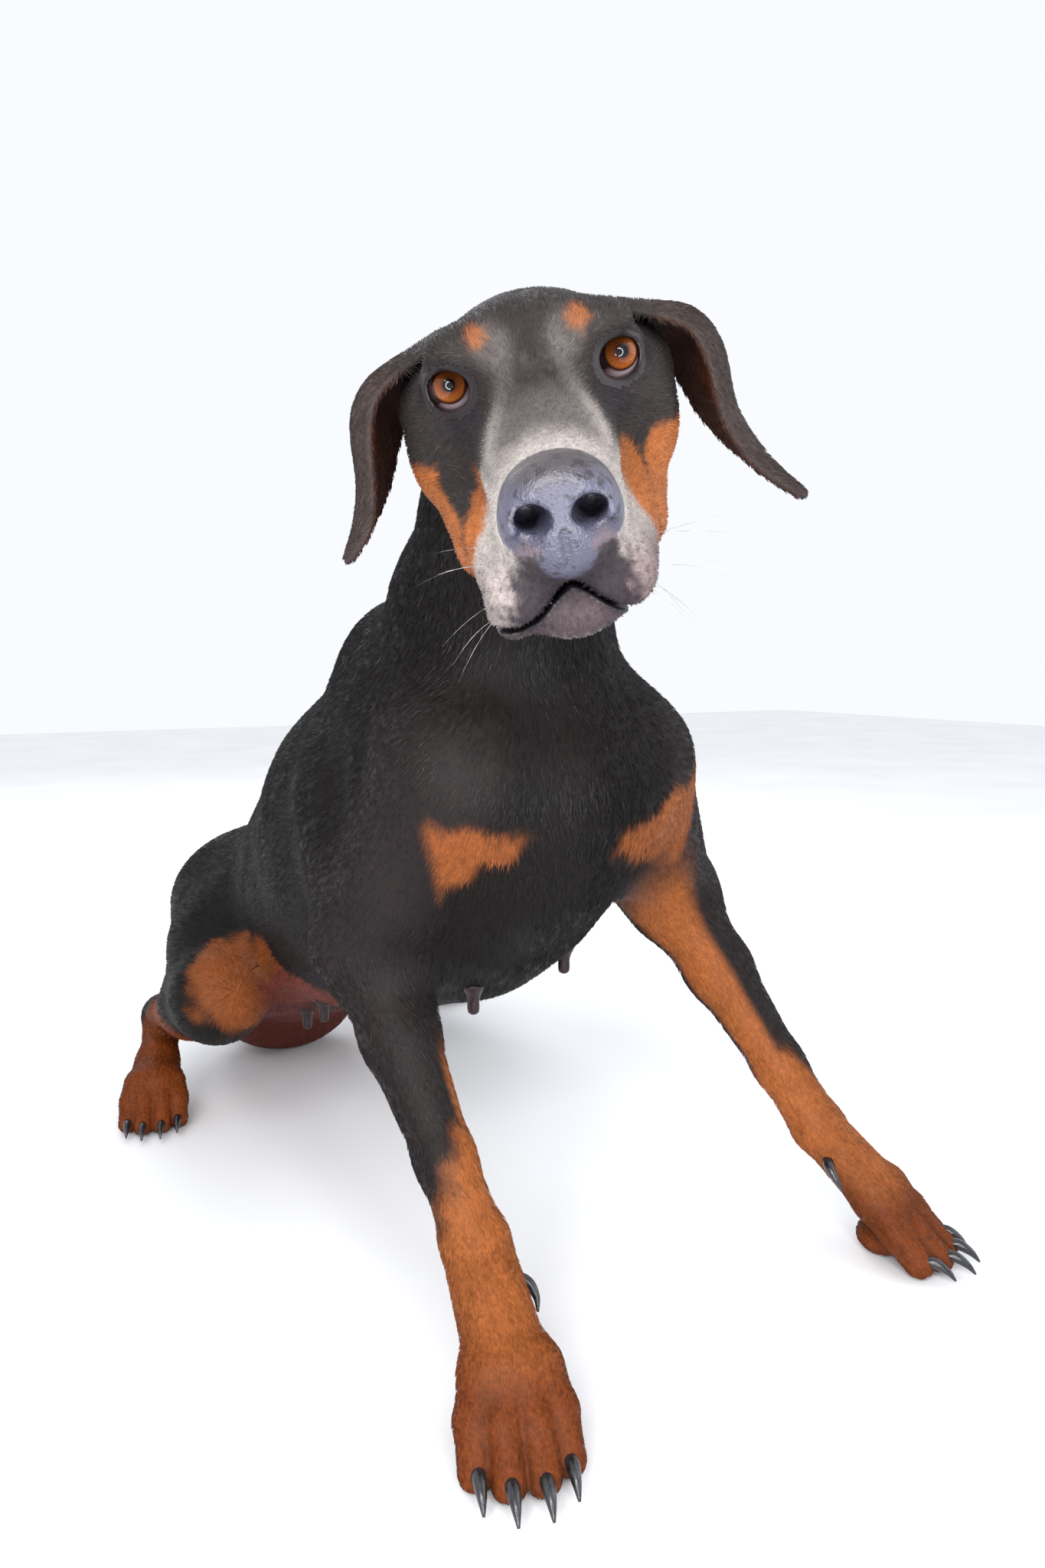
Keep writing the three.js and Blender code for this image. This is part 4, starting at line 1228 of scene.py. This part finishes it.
shade = rng.uniform(0.72, 1.3, (TUFTS, 1))
grey_hair = (rng.random((TUFTS, 1)) < GREY_CHANCE) * ramp(roots[:, 2], 350, 450)[:, None]
tuft_colour = mix(hair["colours"], MUZZLE_GREY, grey_hair * GREY_SHARE) * shade
# Each tuft's colour at its two roots, its ridge and its tip: painted shade at the roots and painted highlight
# at the tip.
TUFT_ROOT_SHADE_TIP_HIGHLIGHT = np.array([0.72, 0.72, 1.0, 1.3])


def coat_region():
    """Which piece of the coat each tuft belongs to."""
    names = ["neck", "trunk", "tail", "fore_r", "fore_l", "hind_r", "hind_l", "head"]
    nearest = np.argmin(np.stack([hair["parts"][name] for name in names]), 0)
    region = np.array(names, dtype=object)[nearest]
    left = in_head(roots)[:, 2] > 0
    flap = hair["flap"] > 0.5
    region[flap & left] = "ear_l"
    region[flap & ~left] = "ear_r"
    trunk = region == "trunk"
    half = np.array(["_r", "_l"], dtype=object)[(roots[:, 0] > TRUNK_MIDDLE).astype(int)]
    cut = np.searchsorted(TRUNK_CUTS, roots[:, 1], "right")
    third = np.array(["_front", "_middle", "_rear"], dtype=object)[cut]
    region[trunk] = ("trunk" + third + half)[trunk]
    face = region == "head"
    region[face] = np.where(in_head(roots)[face, 0] > MUZZLE_START, "muzzle", "skull")
    return region


def bake_places(chosen):
    """A place for each tuft on six flat views of the skin, by the way that its root faces."""
    p = roots[chosen]
    n = root_normals[chosen]
    axis = np.abs(n).argmax(1)
    facing = n[np.arange(len(n)), axis] > 0
    low, high = p.min(0), p.max(0)
    share = (p - low) / (high - low).max()
    u = np.where(axis == 0, share[:, 1], share[:, 0])
    v = np.where(axis == 2, share[:, 1], share[:, 2])
    tile = axis * 2 + facing
    u, v = (VIEW_EDGE + (1 - 2 * VIEW_EDGE) * part for part in (u, v))
    return np.stack([(tile % 3 + u) / 3, (tile // 3 + v) / 2], 1)


def coat_piece(name, chosen):
    count = len(chosen)
    points = tuft_points[chosen].reshape(-1, 3)
    faces = (TUFT_FACES[None] + 4 * np.arange(count)[:, None, None]).reshape(-1, 3)
    piece = new_object(name, points, faces, [COAT])
    colours = tuft_colour[chosen][:, None, :] * TUFT_ROOT_SHADE_TIP_HIGHLIGHT[None, :, None]
    paint_points(piece, colours.reshape(-1, 3))
    corner = np.array([(-PATCH, -PATCH), (PATCH, -PATCH), (0, 0), (0, PATCH)])
    uv = bake_places(chosen)[:, None, :] + corner[None]
    uv = uv.reshape(-1, 2)[faces.ravel()]
    layer = piece.data.uv_layers.new(name="OFBake")
    layer.data.foreach_set("uv", uv.astype(np.float32).ravel())
    tilt = side_way[chosen] * rng.normal(0, SHADE_TILT, (count, 1)) - flow[chosen] * SHADE_BACK
    normal = rows_unit(root_normals[chosen] + tilt)
    spread = side_way[chosen] * SHADE_FAN
    fan = np.stack([rows_unit(normal - spread), rows_unit(normal + spread), normal, normal], 1)
    piece.data.normals_split_custom_set_from_vertices(fan.reshape(-1, 3).tolist())
    settle(piece, "dark_coat")


region = coat_region()
for name in sorted(set(region)):
    chosen = np.flatnonzero(region == name)
    for part in range(0, len(chosen), PIECE_LIMIT):
        tail_name = "" if part == 0 else f"_{part // PIECE_LIMIT + 1}"
        coat_piece(f"coat_{name}{tail_name}", chosen[part:part + PIECE_LIMIT])
    print("coat", name, len(chosen))


# Eyes

IRIS_RADIUS = 8.1
PUPIL_RADIUS = 2.9
GAZE = {-1: (0.985, 0.12, 0.02), 1: (0.97, 0.12, 0.15)}
CORNEA_RISE = 1.2
EYE_COLUMNS = 64
EYE_RINGS = 48


def eye_material():
    """Amber iris with fibres, dark rim and pupil, in an eyeball whose axis is its own Z."""
    made = Finish("eye_wet", 0.3, coat=0.8, specular=0.0, coat_roughness=0.01)
    spot = made.node("SeparateXYZ", {"Vector": made.place()})
    flat = made.node("CombineXYZ", {"X": spot["X"], "Y": spot["Y"]})
    reach = made.node("VectorMath", {0: flat["Vector"]}, operation="LENGTH")
    share = made.node("Math", {0: reach["Value"], 1: EYE_RADIUS * MM}, operation="DIVIDE")["Value"]
    iris = IRIS_RADIUS / EYE_RADIUS
    pupil = PUPIL_RADIUS / EYE_RADIUS
    rings = made.band(
        share,
        (0.0, (0.002, 0.002, 0.003)),
        (pupil * 0.96, (0.002, 0.002, 0.003)),
        (pupil * 1.08, (0.09, 0.022, 0.006)),
        (mix(pupil, iris, 0.35), (0.2, 0.05, 0.009)),
        (mix(pupil, iris, 0.75), (0.27, 0.078, 0.014)),
        (iris * 0.93, (0.06, 0.015, 0.006)),
        (iris, (0.012, 0.006, 0.006)),
    )
    around = made.band(share, (iris * 0.98, 0.0), (iris * 1.08, 1.0))
    span = {"From Min": -EYE_RADIUS * MM, "From Max": EYE_RADIUS * MM}
    height = made.node("MapRange", {"Value": spot["Y"], **span})["Result"]
    white = made.band(height, (0.1, (0.5, 0.42, 0.44)), (0.2, (0.3, 0.2, 0.22)), (0.32, (0.02, 0.01, 0.011)))
    # The iris is darkened towards the top: painted shadow of the upper lid.
    lit = made.band(height, (0.3, 0.95), (0.52, 0.6), (0.78, 0.14))
    angle = made.node("Math", {0: spot["Y"], 1: spot["X"]}, operation="ARCTAN2")["Value"]
    spokes = made.node("CombineXYZ", {"X": angle, "Y": share})["Vector"]
    fibres = made.node("TexNoise", {"Vector": spokes, "Scale": 9.0, "Detail": 5.0})["Fac"]
    iris_colour = made.mixed(rings, made.band(fibres, (0.3, 0.55), (0.7, 1.25)), 0.8)
    made.colour(made.mixed(made.mixed(iris_colour, lit), white, around, "MIX"))
    return made.material


def eyeball(side, wet):
    """A ball with a slightly raised cornea, turned to where the animal looks."""
    tag = TAGS[side]
    columns, rings = EYE_COLUMNS, EYE_RINGS
    points = [(0, 0, EYE_RADIUS)]
    for i in range(1, rings):
        turn = math.pi * i / rings
        reach = EYE_RADIUS * math.sin(turn)
        bulge = CORNEA_RISE * (1 - ramp(reach, 0, IRIS_RADIUS * 1.15)) if turn < math.pi / 2 else 0
        for k in range(columns):
            around = 2 * math.pi * k / columns
            height = EYE_RADIUS * math.cos(turn) + bulge
            points.append((reach * math.cos(around), reach * math.sin(around), height))
    points[0] = (0, 0, EYE_RADIUS + CORNEA_RISE)
    points.append((0, 0, -EYE_RADIUS))
    faces = []
    for k in range(columns):
        after = (k + 1) % columns
        faces.append((0, 1 + k, 1 + after))
        for i in range(rings - 2):
            a, b = 1 + i * columns, 1 + (i + 1) * columns
            faces += [(a + k, b + k, b + after), (a + k, b + after, a + after)]
        last = 1 + (rings - 2) * columns
        faces.append((last + after, last + k, len(points) - 1))
    piece = new_object("eyeball_" + tag, np.array(points) + FOOT, faces, [wet])
    gaze = unit(point(*GAZE[side]) @ HEAD_AXES)
    middle = (on_head(-EYE_BACK, 0, side * EYE_SPREAD) - FOOT) * MM
    turn = Vector((0, 0, 1)).rotation_difference(Vector(gaze)).to_matrix().to_4x4()
    piece.matrix_world = Matrix.Translation(Vector(middle)) @ turn
    settle(piece, "eye", "eye_" + tag)


EYE_WET = eye_material()
for side in SIDES:
    eyeball(side, EYE_WET)


# Horns: claws, teats and whiskers

def smoothed(stations, times=5):
    """(point, radius) stations with smooth steps between them."""
    rows = [np.array([*middle, radius], float) for middle, radius in stations]
    return [(row[:3], max(row[3], 0.05)) for row in finer(rows, times)]


def horn_mesh(stations, sides):
    """A tapering, curved horn, closed at both ends."""
    points = []
    faces = []
    for i, (middle, radius) in enumerate(stations):
        before = stations[max(i - 1, 0)][0]
        after = stations[min(i + 1, len(stations) - 1)][0]
        along = unit(after - before)
        right = unit(np.cross(along, point(0.3, 0.2, 1)))
        top = np.cross(right, along)
        for k in range(sides):
            turn = 2 * math.pi * k / sides
            points.append(middle + (right * math.cos(turn) + top * math.sin(turn)) * radius)
    last = len(stations) - 1
    points += [stations[0][0], stations[last][0]]
    heel, end = len(points) - 2, len(points) - 1
    for k in range(sides):
        after = (k + 1) % sides
        for i in range(last):
            a, b = i * sides, (i + 1) * sides
            faces += [(a + k, b + after, a + after), (a + k, b + k, b + after)]
        faces += [(heel, k, after), (end, last * sides + after, last * sides + k)]
    return np.array(points), np.array(faces)


def joined_meshes(meshes):
    points = np.concatenate([points for points, _ in meshes])
    starts = np.cumsum([0] + [len(points) for points, _ in meshes[:-1]])
    faces = np.concatenate([faces + start for (_, faces), start in zip(meshes, starts)])
    return points, faces


CLAW_SIDES = 18
# How far ahead of the toe's tip, how much higher, and how thick a claw is.
CLAW_RINGS = [(5, 3.5, 4.4), (12, 4, 4.0), (20, 0.5, 2.7), (26, -5, 0.8)]


def claw_stations(joints, toe, scale):
    tip = toe_joints(joints, toe, scale)[2]

    def at(ahead, rise):
        return tip + joints["way"] * ahead * scale + point(0, 0, rise * scale)

    return [(at(ahead, rise), radius * scale) for ahead, rise, radius in CLAW_RINGS]


def dewclaw_stations(joints, side):
    inward = joints["across"] * np.sign(joints["across"][0]) * -side
    root = mix(joints["wrist"], joints["knuckle"], 0.28)

    def at(aside, ahead, rise):
        return root + inward * aside + joints["way"] * ahead + point(0, 0, rise)

    return [(at(18, 0, -4), 4.4), (at(27, 4, -7), 3.8), (at(31, 10, -13), 2.4), (at(31, 15, -20), 0.8)]


def claw(node, stations):
    points, faces = horn_mesh(smoothed(stations), CLAW_SIDES)
    piece = new_object(node + "_horn", points, faces, [CLAW])
    settle(piece, "claw", node)


for side, tag in TAGS.items():
    for toe in range(len(TOES)):
        claw(f"claw_fore_{tag}_{toe + 1}", claw_stations(FORE[side], toe, 1))
        claw(f"claw_hind_{tag}_{toe + 1}", claw_stations(HIND[side], toe, HIND_PAW_SCALE))
    claw("dewclaw_" + tag, dewclaw_stations(FORE[side], side))

TEATS = [
    (-34, -92), (45, -88), (-54, 6), (40, 9), (-64, 80),
    (28, 82), (-66, 152), (14, 152), (-62, 216), (2, 216),
]
TEAT_COLOUR = linear(40, 27, 29)
# How far below the belly's surface each ring of a teat is, and its radius.
TEAT_RINGS = [(-6, 9), (-1, 7.2), (1, 6), (6, 4.5), (12, 4.5), (15.5, 3.9), (17, 2)]


def teat(x, y):
    heights = np.arange(40.0, 300.0, 1.0)
    column = np.stack([np.full(len(heights), x), np.full(len(heights), y), heights], 1)
    z = heights[np.argmax(flesh(column) < 0)]
    return horn_mesh(smoothed([(point(x, y, z - drop), radius) for drop, radius in TEAT_RINGS], 3), 20)


teat_points, teat_faces = joined_meshes([teat(*spot) for spot in TEATS])
teats = new_object("teats", teat_points, teat_faces, [BARE])
paint_points(teats, np.tile(TEAT_COLOUR, (len(teat_points), 1)))
settle(teats, "dark_coat")

WHISKERS = 18
WHISKER_RADIUS = 0.1


def whisker(side):
    """One long hair from the lip or chin, curving down and back."""
    f = rng.uniform(62, 108)
    start = on_head(f, rng.uniform(-86, -62), side * 30)
    inward = on_head(f, -72, 0)
    way = unit(start - inward)
    out = inward + np.outer(np.arange(0, 60, 0.5), way)
    root = out[np.argmax(flesh(out) > -0.5)]
    length = rng.uniform(18, 42)
    droop = rng.uniform(2, 9)
    lean = unit(way + 0.5 * unit(-UP) * rng.uniform(-0.3, 1) - 0.45 * FRONT * rng.uniform(-0.3, 1))
    steps = np.linspace(0, 1, 7)
    path = [root + lean * length * t - point(0, 0, droop) * t * t for t in steps]
    return horn_mesh([(spot, WHISKER_RADIUS * (1 - 0.8 * t)) for spot, t in zip(path, steps)], 5)


whisker_points, whisker_faces = joined_meshes([whisker(side) for side in SIDES for _ in range(WHISKERS // 2)])
whiskers = new_object("whiskers", whisker_points, whisker_faces, [WHISKER])
settle(whiskers, "dark_coat")


# Camera, light and floor

CAMERA_PLACE = point(-368, -768, 455)
CAMERA_YAW = math.radians(29)
CAMERA_PITCH = math.radians(6.8)
FOCAL = 1400 / 2048
SENSOR_WIDTH = 36

camera_data = bpy.data.cameras.new("camera")
camera_data.sensor_width = SENSOR_WIDTH
camera_data.lens = SENSOR_WIDTH * FOCAL
camera = bpy.data.objects.new("camera", camera_data)
camera.location = Vector((CAMERA_PLACE - FOOT) * MM)
camera.rotation_euler = (math.pi / 2 - CAMERA_PITCH, 0, -CAMERA_YAW)
bpy.context.scene.collection.objects.link(camera)
bpy.context.scene.camera = camera


def lamp(name, place, target, size, power, colour=(1, 1, 1), shape="RECTANGLE"):
    data = bpy.data.lights.new(name, "AREA")
    data.shape = shape
    data.size = size
    if shape == "RECTANGLE":
        data.size_y = size
    data.energy = power
    data.color = colour
    light = bpy.data.objects.new(name, data)
    light.location = place
    light.rotation_euler = (Vector(target) - Vector(place)).to_track_quat("-Z", "Y").to_euler()
    bpy.context.scene.collection.objects.link(light)


MIDDLE = (0, -0.1, 0.32)
# Each large lamp: its place, its width, its power and its colour.
LAMPS = {
    "key": ((-1.9, -1.9, 2.2), 1.6, 34, (1.0, 0.98, 0.95)),
    "fill": ((1.9, -1.5, 1.4), 1.8, 14, (0.93, 0.96, 1.0)),
    "rim": ((0.4, 2.2, 2.1), 1.6, 22, (0.92, 0.96, 1.0)),
}
for name, (place, size, power, colour) in LAMPS.items():
    lamp(name, place, MIDDLE, size, power, colour)

# A ring of small lamps just in front of the camera.
RING_LAMPS = 30
RING_RADIUS = 0.3
RING_AHEAD = 0.02
RING_LAMP_SIZE = 0.065
RING_LAMP_POWER = 0.3
RING_TARGET = Vector((on_head(0, -20) - FOOT) * MM)
eye_line = camera.rotation_euler.to_matrix()
for step in range(RING_LAMPS):
    turn = 2 * math.pi * step / RING_LAMPS
    offset = eye_line @ Vector((math.cos(turn) * RING_RADIUS, math.sin(turn) * RING_RADIUS, RING_AHEAD))
    place = camera.location + offset
    lamp(f"ring_{step}", place, RING_TARGET, RING_LAMP_SIZE, RING_LAMP_POWER, shape="DISK")

world = bpy.data.worlds.new("studio")
world.use_nodes = True
backdrop = world.node_tree.nodes["Background"].inputs
backdrop["Color"].default_value = (0.95, 0.97, 1.0, 1)
backdrop["Strength"].default_value = 1.0
bpy.context.scene.world = world
bpy.context.scene.view_settings.view_transform = "Standard"

FLOOR_HALF = 6000
floor_corners = FOOT + np.array([(-1, -1, 0), (1, -1, 0), (1, 1, 0), (-1, 1, 0)]) * FLOOR_HALF
paper = Finish("floor_paper", 0.8)
paper.colour(paper.band(paper.noise(3.0), (0.3, (0.84, 0.85, 0.87)), (0.7, (0.9, 0.9, 0.92))))
floor = new_object("floor", floor_corners, [(0, 1, 2, 3)], [paper.material], smooth=False)
